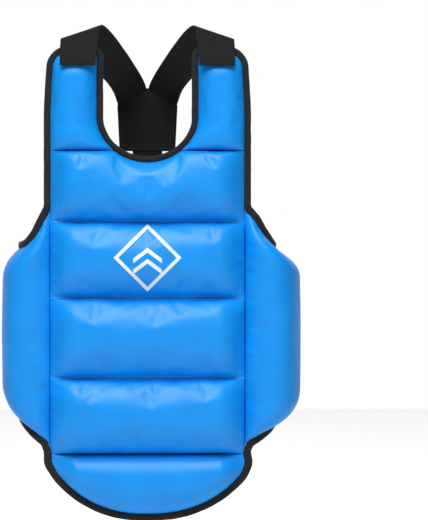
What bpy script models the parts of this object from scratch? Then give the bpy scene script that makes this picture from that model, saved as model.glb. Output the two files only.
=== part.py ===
"""Chest protector for martial arts: a quilted front with four foam channels, two side
wings that wrap round the ribs, a lower flap, two shoulder tabs and an elastic harness.

Metres, +Z up. The front faces -Y and the wearer's chest rests on the flat rear face of
the front lining, at Y = 0. The origin is on that face, on the seam between the second
and third channels. Heights named *_Z are measured from it.
"""

import math

import bmesh
import bpy
from mathutils import Matrix, Vector

# ---- Driving dimensions -----------------------------------------------------------

# Quilting seams of the front, from the flap seam up to the shoulder seam.
SEAMS_Z = (-0.166, -0.085, 0.0, 0.080, 0.154)
FRONT_HALF = 0.1025  # centre line to a side seam
SEAM_GAP = 0.001  # between two pads that share a sewn seam
FLAP_SEAM_GAP = 0.002
SEAM_DEPTH = 0.0026  # thickness of cover and lining sewn flat together

FRONT_CROWN = 0.024  # how far a channel stands proud of its seams
WING_CROWN = 0.021
TAB_CROWN = 0.018
FLAP_CROWN = 0.021
ROUND_OVER = 0.027  # distance from a seam at which a pad reaches its full height
TAB_ROUND_OVER = 0.020

COVER_THICK = 0.001
LINING_THICK = 0.0012
FOAM_INSET = 0.0080  # foam stops this far short of its seams
FOAM_UNDER = 0.0060  # foam front below the cover's outer face
FOAM_OFF_LINING = 0.0003
FOAM_CORNER = 0.0021  # least height of a foam block's front, at its corners

TAPE_WIDTH = 0.006  # binding tape, as seen from the front
TAPE_THICK = 0.0042
TAPE_LIFT = 0.0002  # tape's rear face in front of the lining's rear face
TAPE_GAP = 0.0009  # between a cover's edge and its tape, round curves
TOUCH = 0.0003  # gap between pieces that touch

# Neck opening: half an ellipse below, straight sides above.
NECK_HALF = 0.053
NECK_DROP = 0.048
NECK_Z = 0.190

TAB_OUTER = 0.103
TAB_TOP_Z = 0.258
TAB_CORNER = 0.015

# Side wing, along its lining: a short lead, a quarter turn, then straight back.
WING_LEAD = 0.004
WING_BEND = 0.026
WING_LENGTH = 0.1045
WING_CORNER = 0.012
ARMHOLE_Z = 0.097  # where the wing's top edge leaves the front
WING_TOP_Z = 0.057
ARMHOLE_REACH = 0.042
WING_LOW_Z = -0.118
WING_ROOT_LOW_Z = -0.163
WING_LOW_REACH = 0.065

FLAP_HALF = 0.102
FLAP_SIDE_Z = -0.174
FLAP_LOW_Z = -0.228

# Harness.
WEB_THICK = 0.002
CREST_Y = 0.008
CREST_Z = 0.286
YOKE_Y = 0.1405  # front face of the webbing between the yoke's patches
YOKE_TOP_Z = 0.230
YOKE_SHOULDER_Z = 0.211
YOKE_LOW_Z = 0.159
YOKE_HALF_TOP = 0.032
YOKE_HALF_LOW = 0.0295
PATCH_THICK = 0.0012
YOKE_SLACK = 0.0019  # room beside the webbing where it bends in between the patches
SPINE_WIDTH = 0.033
SPINE_TOP_Z = 0.182
BELT_WIDTH = 0.050
BELT_Z = -0.060
BELT_HALF = 0.130  # to the belt's outer face beside the wings
BELT_BACK_Y = 0.152
BELT_BEND = 0.026
BELT_END_Y = 0.048
PAD_START_Y = 0.052
PAD_END_Y = 0.082
LOOP_PAD_START = 0.068  # along the wing's lining
LOOP_PAD_END = 0.096
LOOP_PAD_WIDTH = 0.070
PAD_THICK = 0.0012

# Joint axes, through the sewn seams and over the shoulders.
PIVOTS = {
    "front": Vector((0, 0, 0)),
    "left_wing": Vector((-FRONT_HALF - SEAM_GAP / 2, -SEAM_DEPTH, 0)),
    "right_wing": Vector((FRONT_HALF + SEAM_GAP / 2, -SEAM_DEPTH, 0)),
    "flap": Vector((0, -SEAM_DEPTH, SEAMS_Z[0])),
    "shoulders": Vector((0, -SEAM_DEPTH, SEAMS_Z[-1])),
    "harness": Vector((0, CREST_Y, CREST_Z)),
}
PARENTS = {
    "left_wing": "front",
    "right_wing": "front",
    "flap": "front",
    "shoulders": "front",
    "harness": "shoulders",
}

# sRGB colour as linear RGB, and roughness.
FINISHES = {
    "blue_leather": ((0.001, 0.296, 0.871), 0.32),
    "black_tape": ((0.018, 0.018, 0.020), 0.55),
    "black_webbing": ((0.007, 0.007, 0.008), 0.80),
    "black_lining": ((0.014, 0.014, 0.016), 0.70),
    "grey_foam": ((0.300, 0.300, 0.310), 0.90),
    "hook_tape": ((0.010, 0.010, 0.011), 0.85),
}


# ---- Scene ------------------------------------------------------------------------


def clear_scene():
    """Remove every object that the file opens with."""
    for obj in list(bpy.data.objects):
        bpy.data.objects.remove(obj)


def make_finishes():
    """One Principled material for each finish."""
    made = {}
    for name, (colour, roughness) in FINISHES.items():
        material = bpy.data.materials.new(name)
        material.use_nodes = True
        shader = material.node_tree.nodes["Principled BSDF"]
        shader.inputs["Base Color"].default_value = (*colour, 1.0)
        shader.inputs["Roughness"].default_value = roughness
        shader.inputs["Metallic"].default_value = 0.0
        made[name] = material
    return made


def make_bodies(collection):
    """One empty on each joint's axis, the front's at the origin."""
    empties = {}
    for name, pivot in PIVOTS.items():
        empty = bpy.data.objects.new("body_" + name, None)
        collection.objects.link(empty)
        parent = PARENTS.get(name)
        empty.location = pivot
        if parent:
            empty.parent = empties[parent]
            empty.location = pivot - PIVOTS[parent]
        empties[name] = empty
    return empties


class Bench:
    """What every piece needs: the collection, the bodies and the finishes."""

    def __init__(self):
        self.collection = bpy.data.collections.new("chest_protector")
        bpy.context.scene.collection.children.link(self.collection)
        self.bodies = make_bodies(self.collection)
        self.finishes = make_finishes()

    def add(self, name, body, finish, bm):
        """Make bm, in world places, an object whose origin is on its body's axis."""
        bm.transform(Matrix.Translation(-PIVOTS[body]))
        mesh = bpy.data.meshes.new(name)
        bm.to_mesh(mesh)
        bm.free()
        obj = bpy.data.objects.new(name, mesh)
        obj.parent = self.bodies[body]
        mesh.materials.append(self.finishes[finish].copy())
        mesh.materials[0].name = name
        mesh.shade_smooth()
        mesh.set_sharp_from_angle(angle=math.radians(50))
        self.collection.objects.link(obj)
        return obj


# ---- Shapes -----------------------------------------------------------------------


def grid(columns, rows, point):
    """A grid primitive with each vertex moved to point(u, v), u and v from 0 to 1."""
    bm = bmesh.new()
    bmesh.ops.create_grid(bm, x_segments=columns, y_segments=rows, size=1)
    for vertex in bm.verts:
        u = (vertex.co.x + 1) / 2
        v = (vertex.co.y + 1) / 2
        vertex.co = point(u, v)
    return bm


def sheet(bench, name, body, finish, size, point, thickness, outward):
    """A grid surface given its thickness by Solidify, on its front side if outward."""
    obj = bench.add(name, body, finish, grid(*size, point))
    wall = obj.modifiers.new("thickness", "SOLIDIFY")
    wall.thickness = thickness
    wall.offset = 1 if outward else -1
    return obj


def block(bench, name, body, finish, size, front, back):
    """A solid between two surfaces over the same grid."""
    bm = grid(*size, front)
    bm.verts.ensure_lookup_table()
    behind = {}
    flat = grid(*size, back)
    flat.verts.ensure_lookup_table()
    for vertex in flat.verts:
        behind[vertex.index] = vertex.co.copy()
    flat.free()
    first = {tuple(vertex.co): vertex.index for vertex in bm.verts}
    grown = bmesh.ops.extrude_face_region(bm, geom=bm.faces[:], use_keep_orig=True)
    for item in grown["geom"]:
        if isinstance(item, bmesh.types.BMVert):
            item.co = behind[first[tuple(item.co)]]
    bmesh.ops.recalc_face_normals(bm, faces=bm.faces[:])
    return bench.add(name, body, finish, bm)


def swell(distance, reach):
    """0 at a seam, rising to 1 at reach from it, as a stuffed pad does."""
    return math.sin(math.pi / 2 * min(1.0, max(0.0, distance) / reach))


def foam_height(cover_height):
    """Height of the foam's front under a cover of that height."""
    return max(cover_height - FOAM_UNDER, FOAM_CORNER)


def smooth_line(points, count):
    """count points along a Catmull-Rom curve through the given points."""
    points = [Vector(p) for p in points]
    ends = [2 * points[0] - points[1], *points, 2 * points[-1] - points[-2]]
    spans = len(points) - 1
    line = []
    for step in range(count):
        t = step / (count - 1) * spans
        i = min(int(t), spans - 1)
        t -= i
        a, b, c, d = ends[i : i + 4]
        line.append(
            0.5 * (2 * b + (c - a) * t + (2 * a - 5 * b + 4 * c - d) * t * t
                   + (3 * b - a - 3 * c + d) * t ** 3)
        )
    return line


def offset_line(points, distance):
    """A flat line of (a, z) points moved to its right-hand side."""
    moved = []
    for i, (a, z) in enumerate(points):
        before = points[max(i - 1, 0)]
        after = points[min(i + 1, len(points) - 1)]
        along = Vector((after[0] - before[0], after[1] - before[1])).normalized()
        moved.append((a + along.y * distance, z - along.x * distance))
    return moved


def arc(centre, radius, start, end, steps):
    """Points on a circle in a flat (a, z) plane, angles in degrees."""
    angles = [math.radians(start + (end - start) * i / steps) for i in range(steps + 1)]
    return [
        (centre[0] + radius * math.cos(a), centre[1] + radius * math.sin(a))
        for a in angles
    ]


def between(line_a, line_b):
    """point(u, v) of the ruled surface from line_a to line_b."""

    def point(u, v):
        i = round(u * (len(line_a) - 1))
        return Vector(line_a[i]).lerp(Vector(line_b[i]), v)

    return point


def flat_surface(a, z, height):
    """The front's own surface: a is X, height is measured forward from the lining."""
    return Vector((a, -height, z))


def tape(bench, name, body, edge, surface, mirrored, least_a=-1.0, least_z=-1.0):
    """Binding tape round a pad's edge of (a, z) points, cut off square at its seam.

    The edge runs anticlockwise seen from the front of the pad's own surface.
    """
    lines = (offset_line(edge, TAPE_GAP + TAPE_WIDTH), offset_line(edge, TAPE_GAP))
    rails = [
        [surface(max(a, least_a), max(z, least_z), TAPE_LIFT) for a, z in line]
        for line in lines
    ]
    if mirrored:
        rails.reverse()
    size = (len(edge) - 1, 1)
    sheet(bench, name, body, "black_tape", size, between(*rails), TAPE_THICK, True)


# ---- Outlines ---------------------------------------------------------------------


def neck_low(x):
    """Lower edge of the neck opening's tape."""
    if abs(x) >= NECK_HALF:
        return NECK_Z
    return NECK_Z - NECK_DROP * math.sqrt(1 - (x / NECK_HALF) ** 2)


def front_top(x):
    """Top edge of the chest channel: the shoulder seam, cut by the neck opening."""
    return min(SEAMS_Z[-1] - SEAM_GAP / 2, neck_low(x))


def tab_inner(z):
    """Inner edge of a shoulder tab's cover, which follows the neck opening."""
    if z >= NECK_Z:
        return NECK_HALF
    return NECK_HALF * math.sqrt(1 - ((NECK_Z - z) / NECK_DROP) ** 2)


def tab_outer(z):
    """Outer edge of a shoulder tab's cover, rounded at the top."""
    over = z - (TAB_TOP_Z - TAB_CORNER)
    if over <= 0:
        return TAB_OUTER
    return TAB_OUTER - TAB_CORNER + math.sqrt(max(0.0, TAB_CORNER ** 2 - over ** 2))


def flap_low(x):
    """Lower edge of the flap's cover."""
    share = min(1.0, abs(x) / (FLAP_HALF + SEAM_GAP))
    return FLAP_SIDE_Z - (FLAP_SIDE_Z - FLAP_LOW_Z) * (1 - share ** 2.2) ** 0.85


def wing_top(s):
    """Top edge of a wing, tape included: the armhole, then level."""
    left = max(0.0, 1 - s / ARMHOLE_REACH)
    return min(ARMHOLE_Z, WING_TOP_Z + 0.051 * left ** 1.6)


def wing_low(s):
    """Bottom edge of a wing, tape included."""
    left = max(0.0, 1 - s / WING_LOW_REACH)
    return WING_LOW_Z + (WING_ROOT_LOW_Z - WING_LOW_Z) * left ** 1.4


def wing_surface(side):
    """surface(s, z, height) of a wing: s along the lining from the side seam."""
    start = FRONT_HALF + SEAM_GAP
    turn = WING_BEND * math.pi / 2

    def surface(s, z, height):
        if s < WING_LEAD:
            place, normal = (s, 0), (0, -1)
        elif s < WING_LEAD + turn:
            angle = (s - WING_LEAD) / WING_BEND
            x = WING_LEAD + WING_BEND * math.sin(angle)
            place, normal = (x, WING_BEND * (1 - math.cos(angle))), (
                math.sin(angle),
                -math.cos(angle),
            )
        else:
            y = WING_BEND + s - WING_LEAD - turn
            place, normal = (WING_LEAD + WING_BEND, y), (1, 0)
        x = start + place[0] + normal[0] * height
        return Vector((side * x, place[1] + normal[1] * height, z))

    return surface


# ---- Pads -------------------------------------------------------------------------


def pad(bench, prefix, body, surface, region, height, mirrored, size, lining_size):
    """Cover, foam and lining of one sewn pad.

    region(u, v, inset) gives (a, z) inside the pad's outline, height(a, z) the cover's
    height there, and mirrored turns the grid round so that its faces look outward.
    """

    def at(u, v, inset, lift):
        a, z = region(1 - u if mirrored else u, v, inset)
        return surface(a, z, lift(a, z))

    def cover(u, v):
        return at(u, v, 0.0, height)

    def foam_front(u, v):
        return at(u, v, FOAM_INSET, lambda a, z: foam_height(height(a, z)))

    def foam_back(u, v):
        return at(u, v, FOAM_INSET, lambda a, z: LINING_THICK + FOAM_OFF_LINING)

    def lining(u, v):
        return at(u, v, 0.0, lambda a, z: 0.0)

    sheet(bench, prefix + "_cover", body, "blue_leather", size, cover, COVER_THICK, False)
    block(bench, prefix + "_foam", body, "grey_foam", size, foam_front, foam_back)
    sheet(bench, prefix + "_lining", body, "black_lining", lining_size, lining,
          LINING_THICK, True)


def front_pad(bench):
    """The four-channel front: one quilted cover and lining over four foam blocks."""
    columns, rows = 20, 6

    def channel_of(z):
        for i in range(len(SEAMS_Z) - 1):
            if z <= SEAMS_Z[i + 1] + 1e-9:
                return i
        return len(SEAMS_Z) - 2

    def span(i, x, inset):
        low = SEAMS_Z[i] + (FLAP_SEAM_GAP / 2 if i == 0 else 0)
        high = SEAMS_Z[i + 1] if i < len(SEAMS_Z) - 2 else front_top(x)
        return low + inset, high - inset

    def place(i, u, v, inset):
        x = (2 * u - 1) * (FRONT_HALF - inset)
        low, high = span(i, x, inset)
        return x, low + (high - low) * v

    def height(x, z):
        low, high = span(channel_of(z), x, 0.0)
        across = swell(FRONT_HALF - abs(x), ROUND_OVER)
        up = min(swell(z - low, ROUND_OVER), swell(high - z, ROUND_OVER))
        return SEAM_DEPTH + FRONT_CROWN * across * up

    def whole(u, v):
        channels = len(SEAMS_Z) - 1
        i = min(int(v * channels + 1e-6), channels - 1)
        return place(i, u, v * channels - i, 0.0)

    def cover(u, v):
        x, z = whole(u, v)
        return flat_surface(x, z, height(x, z))

    def lining(u, v):
        return flat_surface(*whole(u, v), 0.0)

    quilt = (columns, rows * (len(SEAMS_Z) - 1))
    sheet(bench, "front_cover", "front", "blue_leather", quilt, cover, COVER_THICK, False)
    sheet(bench, "front_lining", "front", "black_lining", (columns, len(SEAMS_Z) - 1),
          lining, LINING_THICK, True)
    for i, name in enumerate(("waist_foam", "belly_foam", "rib_foam", "chest_foam")):

        def foam_front(u, v, i=i):
            x, z = place(i, u, v, FOAM_INSET)
            return flat_surface(x, z, foam_height(height(x, z)))

        def foam_back(u, v, i=i):
            return flat_surface(*place(i, u, v, FOAM_INSET), LINING_THICK + FOAM_OFF_LINING)

        block(bench, name, "front", "grey_foam", (12, rows), foam_front, foam_back)


def front_tapes(bench):
    """The neck's lower tape and the two armhole tapes of the front."""
    reach = 0.033  # just inside where the neck opening meets the shoulder seam
    steps = 12
    xs = [reach - 2 * reach * i / steps for i in range(steps + 1)]
    top = SEAMS_Z[-1] - SEAM_GAP / 2
    opening = [(x, min(top, neck_low(x) + TAPE_GAP + TAPE_WIDTH)) for x in xs]
    low = [(x, neck_low(x) + TAPE_GAP) for x in xs]
    rails = [[flat_surface(x, z, TAPE_LIFT) for x, z in reversed(line)]
             for line in (low, opening)]
    sheet(bench, "neck_tape", "front", "black_tape", (steps, 1), between(*rails),
          TAPE_THICK, True)
    for side, name in ((-1, "left"), (1, "right")):
        near = side * (FRONT_HALF + 0.0005)
        far = side * (FRONT_HALF + 0.0005 + TAPE_WIDTH)
        low_z = ARMHOLE_Z + 0.001

        def point(u, v, near=near, far=far, low_z=low_z):
            x = min(near, far) + abs(far - near) * u
            return flat_surface(x, low_z + (top - low_z) * v, TAPE_LIFT)

        sheet(bench, name + "_armhole_tape", "front", "black_tape", (1, 3), point,
              TAPE_THICK, True)


def shoulder_tab(bench, side, name):
    """One shoulder tab: cover, foam, lining and the tape round its three free sides."""
    base_z = SEAMS_Z[-1] + SEAM_GAP / 2

    def region(u, v, inset):
        z = base_z + inset + (TAB_TOP_Z - base_z - 2 * inset) * v
        inner = tab_inner(z) + inset
        outer = tab_outer(z) - inset
        return inner + (outer - inner) * u, z

    def height(a, z):
        across = min(swell(a - tab_inner(z), TAB_ROUND_OVER),
                     swell(tab_outer(z) - a, TAB_ROUND_OVER))
        up = min(swell(z - base_z, TAB_ROUND_OVER), swell(TAB_TOP_Z - z, TAB_ROUND_OVER))
        return SEAM_DEPTH + TAB_CROWN * across * up

    def surface(a, z, lift):
        return Vector((side * a, -lift, z))

    pad(bench, name + "_tab", "shoulders", surface, region, height, side < 0, (6, 14),
        (1, 14))
    corner = (TAB_OUTER - TAB_CORNER, TAB_TOP_Z - TAB_CORNER)
    edge = [(TAB_OUTER, base_z), (TAB_OUTER, NECK_Z)]
    edge += arc(corner, TAB_CORNER, 0, 90, 6)
    edge.append((NECK_HALF, TAB_TOP_Z))
    steps = 8
    heights = [NECK_Z - (NECK_Z - base_z) * i / steps for i in range(steps + 1)]
    edge += [(tab_inner(z), z) for z in heights]
    tape(bench, name + "_tab_tape", "shoulders", edge, surface, side < 0, least_z=base_z)


def wing(bench, side, name):
    """One side wing: cover, foam, lining, edge tape and the loop pad inside its end."""
    surface = wing_surface(side)
    body = name + "_wing"
    edge = TAPE_WIDTH + TAPE_GAP
    end = WING_LENGTH - edge

    def cut(s):
        """How far the free end's corners are cut back at s."""
        return max(0.0, s - (end - WING_CORNER))

    def region(u, v, inset):
        s = inset + (end - 2 * inset) * u
        low = wing_low(s) + edge + inset + cut(s)
        high = wing_top(s) - edge - inset - cut(s)
        return s, low + (high - low) * v

    def height(s, z):
        along = min(swell(s, ROUND_OVER), swell(end - s, ROUND_OVER))
        up = min(swell(z - wing_low(s) - edge, ROUND_OVER),
                 swell(wing_top(s) - edge - z, ROUND_OVER))
        return SEAM_DEPTH + WING_CROWN * along * up

    pad(bench, body, body, surface, region, height, side < 0, (18, 8), (18, 1))
    steps = 14
    along = [(end - WING_CORNER) * i / steps for i in range(steps + 1)]
    line = [(s, wing_low(s) + edge) for s in along]
    line += [(end, WING_LOW_Z + edge + WING_CORNER), (end, WING_TOP_Z - edge - WING_CORNER)]
    line += [(s, wing_top(s) - edge) for s in reversed(along)]
    tape(bench, body + "_tape", body, line, surface, side < 0, least_a=0.0)

    def loop(u, v):
        a = 1 - u if side < 0 else u
        s = LOOP_PAD_START + (LOOP_PAD_END - LOOP_PAD_START) * a
        return surface(s, BELT_Z + LOOP_PAD_WIDTH * (v - 0.5), -TOUCH)

    sheet(bench, name + "_loop_pad", body, "hook_tape", (2, 2), loop, PAD_THICK, False)


def flap(bench):
    """The lower flap: cover, foam, lining and the tape round its curved edge."""
    top = SEAMS_Z[0] - FLAP_SEAM_GAP / 2

    def region(u, v, inset):
        x = (2 * u - 1) * (FLAP_HALF - inset)
        low = flap_low(x) + inset * 0.8
        return x, low + (top - inset * 0.8 - low) * v

    def height(x, z):
        across = swell(FLAP_HALF - abs(x), ROUND_OVER)
        up = min(swell(top - z, ROUND_OVER), swell(z - flap_low(x), ROUND_OVER))
        return SEAM_DEPTH + FLAP_CROWN * across * up

    pad(bench, "flap", "flap", flat_surface, region, height, False, (20, 6), (20, 1))
    steps = 28
    xs = [-FLAP_HALF * math.cos(math.pi * i / steps) for i in range(steps + 1)]
    edge = [(-FLAP_HALF, top)] + [(x, flap_low(x)) for x in xs] + [(FLAP_HALF, top)]
    tape(bench, "flap_tape", "flap", edge, flat_surface, False)


# ---- Harness ----------------------------------------------------------------------


def strap(bench, name, body, rail_a, rail_b, steps, side):
    """A webbing strap between two rails of points given for the right-hand side."""
    rails = []
    for rail in (rail_a, rail_b):
        rails.append([Vector((side * p.x, p.y, p.z)) for p in smooth_line(rail, steps + 1)])
    if side < 0:
        rails.reverse()
    return sheet(bench, name, body, "black_webbing", (steps, 3), between(*rails),
                 WEB_THICK, True)


def straps(bench):
    """The webbing over each shoulder: a sewn front length and the length behind."""
    half_gap = 0.0005
    inner_front = [(0.054, -0.0225, 0.243), (0.054, -0.0185, 0.252), (0.054, -0.0090, 0.263),
                   (0.052, -0.0030, 0.275), (0.050, CREST_Y - half_gap, CREST_Z - WEB_THICK)]
    outer_front = [(0.092, -0.0225, 0.243), (0.092, -0.0185, 0.252), (0.092, -0.0090, 0.261),
                   (0.092, -0.0030, 0.267), (0.092, CREST_Y - half_gap, 0.271)]
    inner_back = [(0.050, CREST_Y + half_gap, CREST_Z - WEB_THICK), (0.035, 0.042, 0.273),
                  (0.009, 0.118, 0.245), (0.0015, YOKE_Y, 0.227), (0.0015, YOKE_Y, 0.206)]
    outer_back = [(0.092, CREST_Y + half_gap, 0.271), (0.075, 0.042, 0.260),
                  (0.044, 0.118, 0.234), (0.034, YOKE_Y, 0.214), (0.027, YOKE_Y, 0.195)]
    for side, name in ((-1, "left"), (1, "right")):
        strap(bench, name + "_strap_front", "shoulders", outer_front, inner_front, 10, side)
        strap(bench, name + "_strap_back", "harness", outer_back, inner_back, 12, side)


def yoke(bench):
    """Two house-shaped patches that hold the straps' ends between them."""

    def patch(u, v):
        low = YOKE_LOW_Z
        top = YOKE_TOP_Z - (YOKE_TOP_Z - YOKE_SHOULDER_Z) * abs(2 * u - 1)
        half = YOKE_HALF_LOW + (YOKE_HALF_TOP - YOKE_HALF_LOW) * v
        return Vector(((2 * u - 1) * half, 0, low + (top - low) * v))

    front_y = YOKE_Y - YOKE_SLACK
    back_y = YOKE_Y + WEB_THICK + YOKE_SLACK + PATCH_THICK
    for name, y in (("yoke_inner_patch", front_y), ("yoke_outer_patch", back_y)):
        sheet(bench, name, "harness", "black_webbing", (4, 3),
              lambda u, v, y=y: patch(u, v) + Vector((0, y, 0)), PATCH_THICK, True)


def spine_and_belt(bench):
    """The elastic down the spine, the waist belt and its two hook pads."""
    half = SPINE_WIDTH / 2
    low_y = BELT_BACK_Y - 2 * WEB_THICK - TOUCH
    line = [(0, YOKE_Y, SPINE_TOP_Z), (0, YOKE_Y, YOKE_LOW_Z), (0, YOKE_Y + 0.003, 0.08),
            (0, low_y, BELT_Z + BELT_WIDTH), (0, low_y, BELT_Z - BELT_WIDTH / 2)]
    middle = smooth_line(line, 17)
    rails = [[p + Vector((x, 0, 0)) for p in middle] for x in (half, -half)]
    sheet(bench, "spine_strap", "harness", "black_webbing", (16, 2), between(*rails),
          WEB_THICK, True)

    start = BELT_HALF - BELT_BEND
    bend = arc((start, BELT_BACK_Y - BELT_BEND), BELT_BEND, 0, 90, 6)
    plan = [(BELT_HALF, BELT_END_Y), (BELT_HALF, 0.088)] + bend
    plan += [(x * start, BELT_BACK_Y) for x in (0.5, 0, -0.5)]
    plan += [(-x, y) for x, y in reversed(bend)]
    plan += [(-BELT_HALF, 0.088), (-BELT_HALF, BELT_END_Y)]
    rails = [[Vector((x, y, BELT_Z + dz)) for x, y in plan]
             for dz in (BELT_WIDTH / 2, -BELT_WIDTH / 2)]
    sheet(bench, "waist_belt", "harness", "black_webbing", (len(plan) - 1, 2),
          between(*rails), WEB_THICK, True)
    for side, name in ((-1, "left"), (1, "right")):

        def hook(u, v, side=side):
            a = u if side > 0 else 1 - u
            y = PAD_START_Y + (PAD_END_Y - PAD_START_Y) * a
            z = BELT_Z + (BELT_WIDTH - 0.004) * (v - 0.5)
            return Vector((side * (BELT_HALF + TOUCH), y, z))

        sheet(bench, name + "_hook_pad", "harness", "hook_tape", (2, 2), hook, PAD_THICK, True)


def main():
    """Build every piece, body by body."""
    clear_scene()
    bench = Bench()
    front_pad(bench)
    front_tapes(bench)
    for side, name in ((-1, "left"), (1, "right")):
        shoulder_tab(bench, side, name)
        wing(bench, side, name)
    flap(bench)
    straps(bench)
    yoke(bench)
    spine_and_belt(bench)


main()
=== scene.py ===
"""Looks of a quilted martial-arts chest protector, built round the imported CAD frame.

Each sewn pad is a dense cloth sheet that is stuffed by a short cloth simulation while its
seams are held. Tapes, webbing, patches and threads are modelled directly on the pads.
"""

import logging
import math
from dataclasses import dataclass, field
from enum import Enum
from typing import Callable, Sequence

import bmesh
import bpy
import numpy as np
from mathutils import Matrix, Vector, noise


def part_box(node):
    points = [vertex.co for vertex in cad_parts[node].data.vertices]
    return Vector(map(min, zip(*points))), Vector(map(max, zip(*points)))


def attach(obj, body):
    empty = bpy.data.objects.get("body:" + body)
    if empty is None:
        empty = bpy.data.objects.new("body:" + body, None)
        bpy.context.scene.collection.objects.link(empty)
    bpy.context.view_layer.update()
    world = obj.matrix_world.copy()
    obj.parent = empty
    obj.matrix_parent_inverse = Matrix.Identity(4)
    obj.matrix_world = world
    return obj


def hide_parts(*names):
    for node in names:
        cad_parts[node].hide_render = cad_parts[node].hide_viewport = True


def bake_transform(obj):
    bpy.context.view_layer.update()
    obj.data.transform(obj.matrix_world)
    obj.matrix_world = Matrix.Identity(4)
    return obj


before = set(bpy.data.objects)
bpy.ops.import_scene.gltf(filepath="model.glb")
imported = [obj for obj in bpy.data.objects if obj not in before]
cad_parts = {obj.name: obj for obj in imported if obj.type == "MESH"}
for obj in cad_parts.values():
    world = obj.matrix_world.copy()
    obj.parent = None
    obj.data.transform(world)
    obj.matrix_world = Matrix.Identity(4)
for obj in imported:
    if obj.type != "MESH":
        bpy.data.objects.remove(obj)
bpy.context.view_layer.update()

LOG = logging.getLogger("chest_protector")
MM = 0.001
TINY = 1e-9  # keeps a division from meeting zero
SIDES = ((-1, "left"), (1, "right"))
Points = np.ndarray


class Finish(Enum):
    """The record's material slots."""

    LEATHER = "cover_leather"
    TAPE = "binding_tape"
    WEBBING = "elastic_webbing"
    LINING = "lining_cloth"
    HOOK = "hook_and_loop"


# ---- Measures of the frame --------------------------------------------------------


FRONT_LOW, FRONT_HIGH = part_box("front_cover")
FLAP_SEAM = (FRONT_LOW.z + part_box("flap_cover")[1].z) / 2
SHOULDER_SEAM = (FRONT_HIGH.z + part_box("left_tab_cover")[0].z) / 2


def seam_heights() -> list[float]:
    """Heights of the front's cross seams, from the flap seam to the shoulder seam."""
    foams = [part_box(n) for n in ("waist_foam", "belly_foam", "rib_foam", "chest_foam")]
    between = [(a[1].z + b[0].z) / 2 for a, b in zip(foams, foams[1:])]
    return [FLAP_SEAM, *between, SHOULDER_SEAM]


SEAMS = seam_heights()
SIDE_SEAM = (FRONT_HIGH.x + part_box("right_wing_cover")[0].x) / 2
SEWN = 2.6 * MM  # cover and lining pulled flat together at a seam
LEATHER_THICK = 1.0 * MM
LINING_THICK = 1.1 * MM
LINING_FACE = 1.2 * MM  # how far the lining's stretched face lies in front of the seam's plane


# ---- Mesh helpers -----------------------------------------------------------------


def hex_colour(code: str) -> tuple[float, float, float, float]:
    """An sRGB hex colour as linear RGBA.

    Args:
        code: six hex digits.

    Returns:
        Linear red, green, blue and an alpha of 1.
    """
    parts = [int(code[i : i + 2], 16) / 255 for i in (0, 2, 4)]
    linear = [c / 12.92 if c <= 0.04045 else ((c + 0.055) / 1.055) ** 2.4 for c in parts]
    return (*linear, 1.0)


def grid_faces(rows: int, columns: int, closed: bool = False) -> list[tuple[int, ...]]:
    """Quads of a grid of points, row by row.

    Args:
        rows: number of rows of points.
        columns: number of points in a row.
        closed: whether each row is a loop.

    Returns:
        The quads' vertex numbers, wound so that the normal is along x row, cross column.
    """
    faces = []
    for j in range(rows - 1):
        for i in range(columns if closed else columns - 1):
            k = (i + 1) % columns
            a, b = j * columns, (j + 1) * columns
            faces.append((a + i, a + k, b + k, b + i))
    return faces


def mesh_object(name: str, points: Sequence, faces: Sequence) -> bpy.types.Object:
    """A smooth-shaded mesh object at the origin, linked to the scene.

    Args:
        name: the object's and mesh's name.
        points: its vertices' places.
        faces: its faces' vertex numbers.

    Returns:
        The object.
    """
    mesh = bpy.data.meshes.new(name)
    mesh.from_pydata([tuple(p) for p in points], [], [tuple(f) for f in faces])
    mesh.update()
    mesh.shade_smooth()
    obj = bpy.data.objects.new(name, mesh)
    bpy.context.scene.collection.objects.link(obj)
    return obj


def apply_modifiers(obj: bpy.types.Object) -> None:
    """Apply every modifier of obj, in order.

    Args:
        obj: the object.
    """
    bpy.ops.object.select_all(action="DESELECT")
    bpy.context.view_layer.objects.active = obj
    obj.select_set(True)
    for modifier in list(obj.modifiers):
        bpy.ops.object.modifier_apply(modifier=modifier.name)
    obj.select_set(False)


def add_modifier(obj: bpy.types.Object, kind: str, **settings: object) -> None:
    """Add one modifier, named for its kind, with its settings."""
    made = obj.modifiers.new(kind.lower(), kind)
    for key, value in settings.items():
        setattr(made, key, value)


def smooth_line(points: Sequence, count: int) -> list[Vector]:
    """Evenly counted points along a Catmull-Rom curve.

    Args:
        points: the points that the curve goes through.
        count: how many points to return.

    Returns:
        Points along the curve, its ends included.
    """
    given = [Vector(p) for p in points]
    ends = [2 * given[0] - given[1], *given, 2 * given[-1] - given[-2]]
    spans = len(given) - 1
    line = []
    for step in range(count):
        t = step / (count - 1) * spans
        i = min(int(t), spans - 1)
        t -= i
        a, b, c, d = ends[i : i + 4]
        line.append(0.5 * (2 * b + (c - a) * t + (2 * a - 5 * b + 4 * c - d) * t * t
                           + (3 * b - a - 3 * c + d) * t ** 3))
    return line


def lengths(line: Sequence[Vector]) -> Points:
    """Distance run along a line at each of its points."""
    pts = np.array([tuple(p) for p in line], float)
    return np.concatenate([[0], np.cumsum(np.linalg.norm(np.diff(pts, axis=0), axis=1))])


def point_at(s: float, run: Points, values: Points) -> Points:
    """The 3-D value at distance s, between those given at each distance in run."""
    return np.array([np.interp(s, run, values[:, k]) for k in range(3)])


def evenly(line: Sequence[Vector], step: float) -> list[Vector]:
    """The line again, with points about step apart along it."""
    pts, run = np.array([tuple(p) for p in line], float), lengths(line)
    at = np.linspace(0, run[-1], max(2, round(run[-1] / step) + 1))
    return [Vector(point_at(s, run, pts)) for s in at]


def round_rise(distance: float, reach: float) -> float:
    """0 at a seam, rising like a quarter ellipse to 1 at reach from it."""
    t = min(1.0, max(0.0, distance) / reach)
    return math.sqrt(1 - (1 - t) ** 2)


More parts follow.
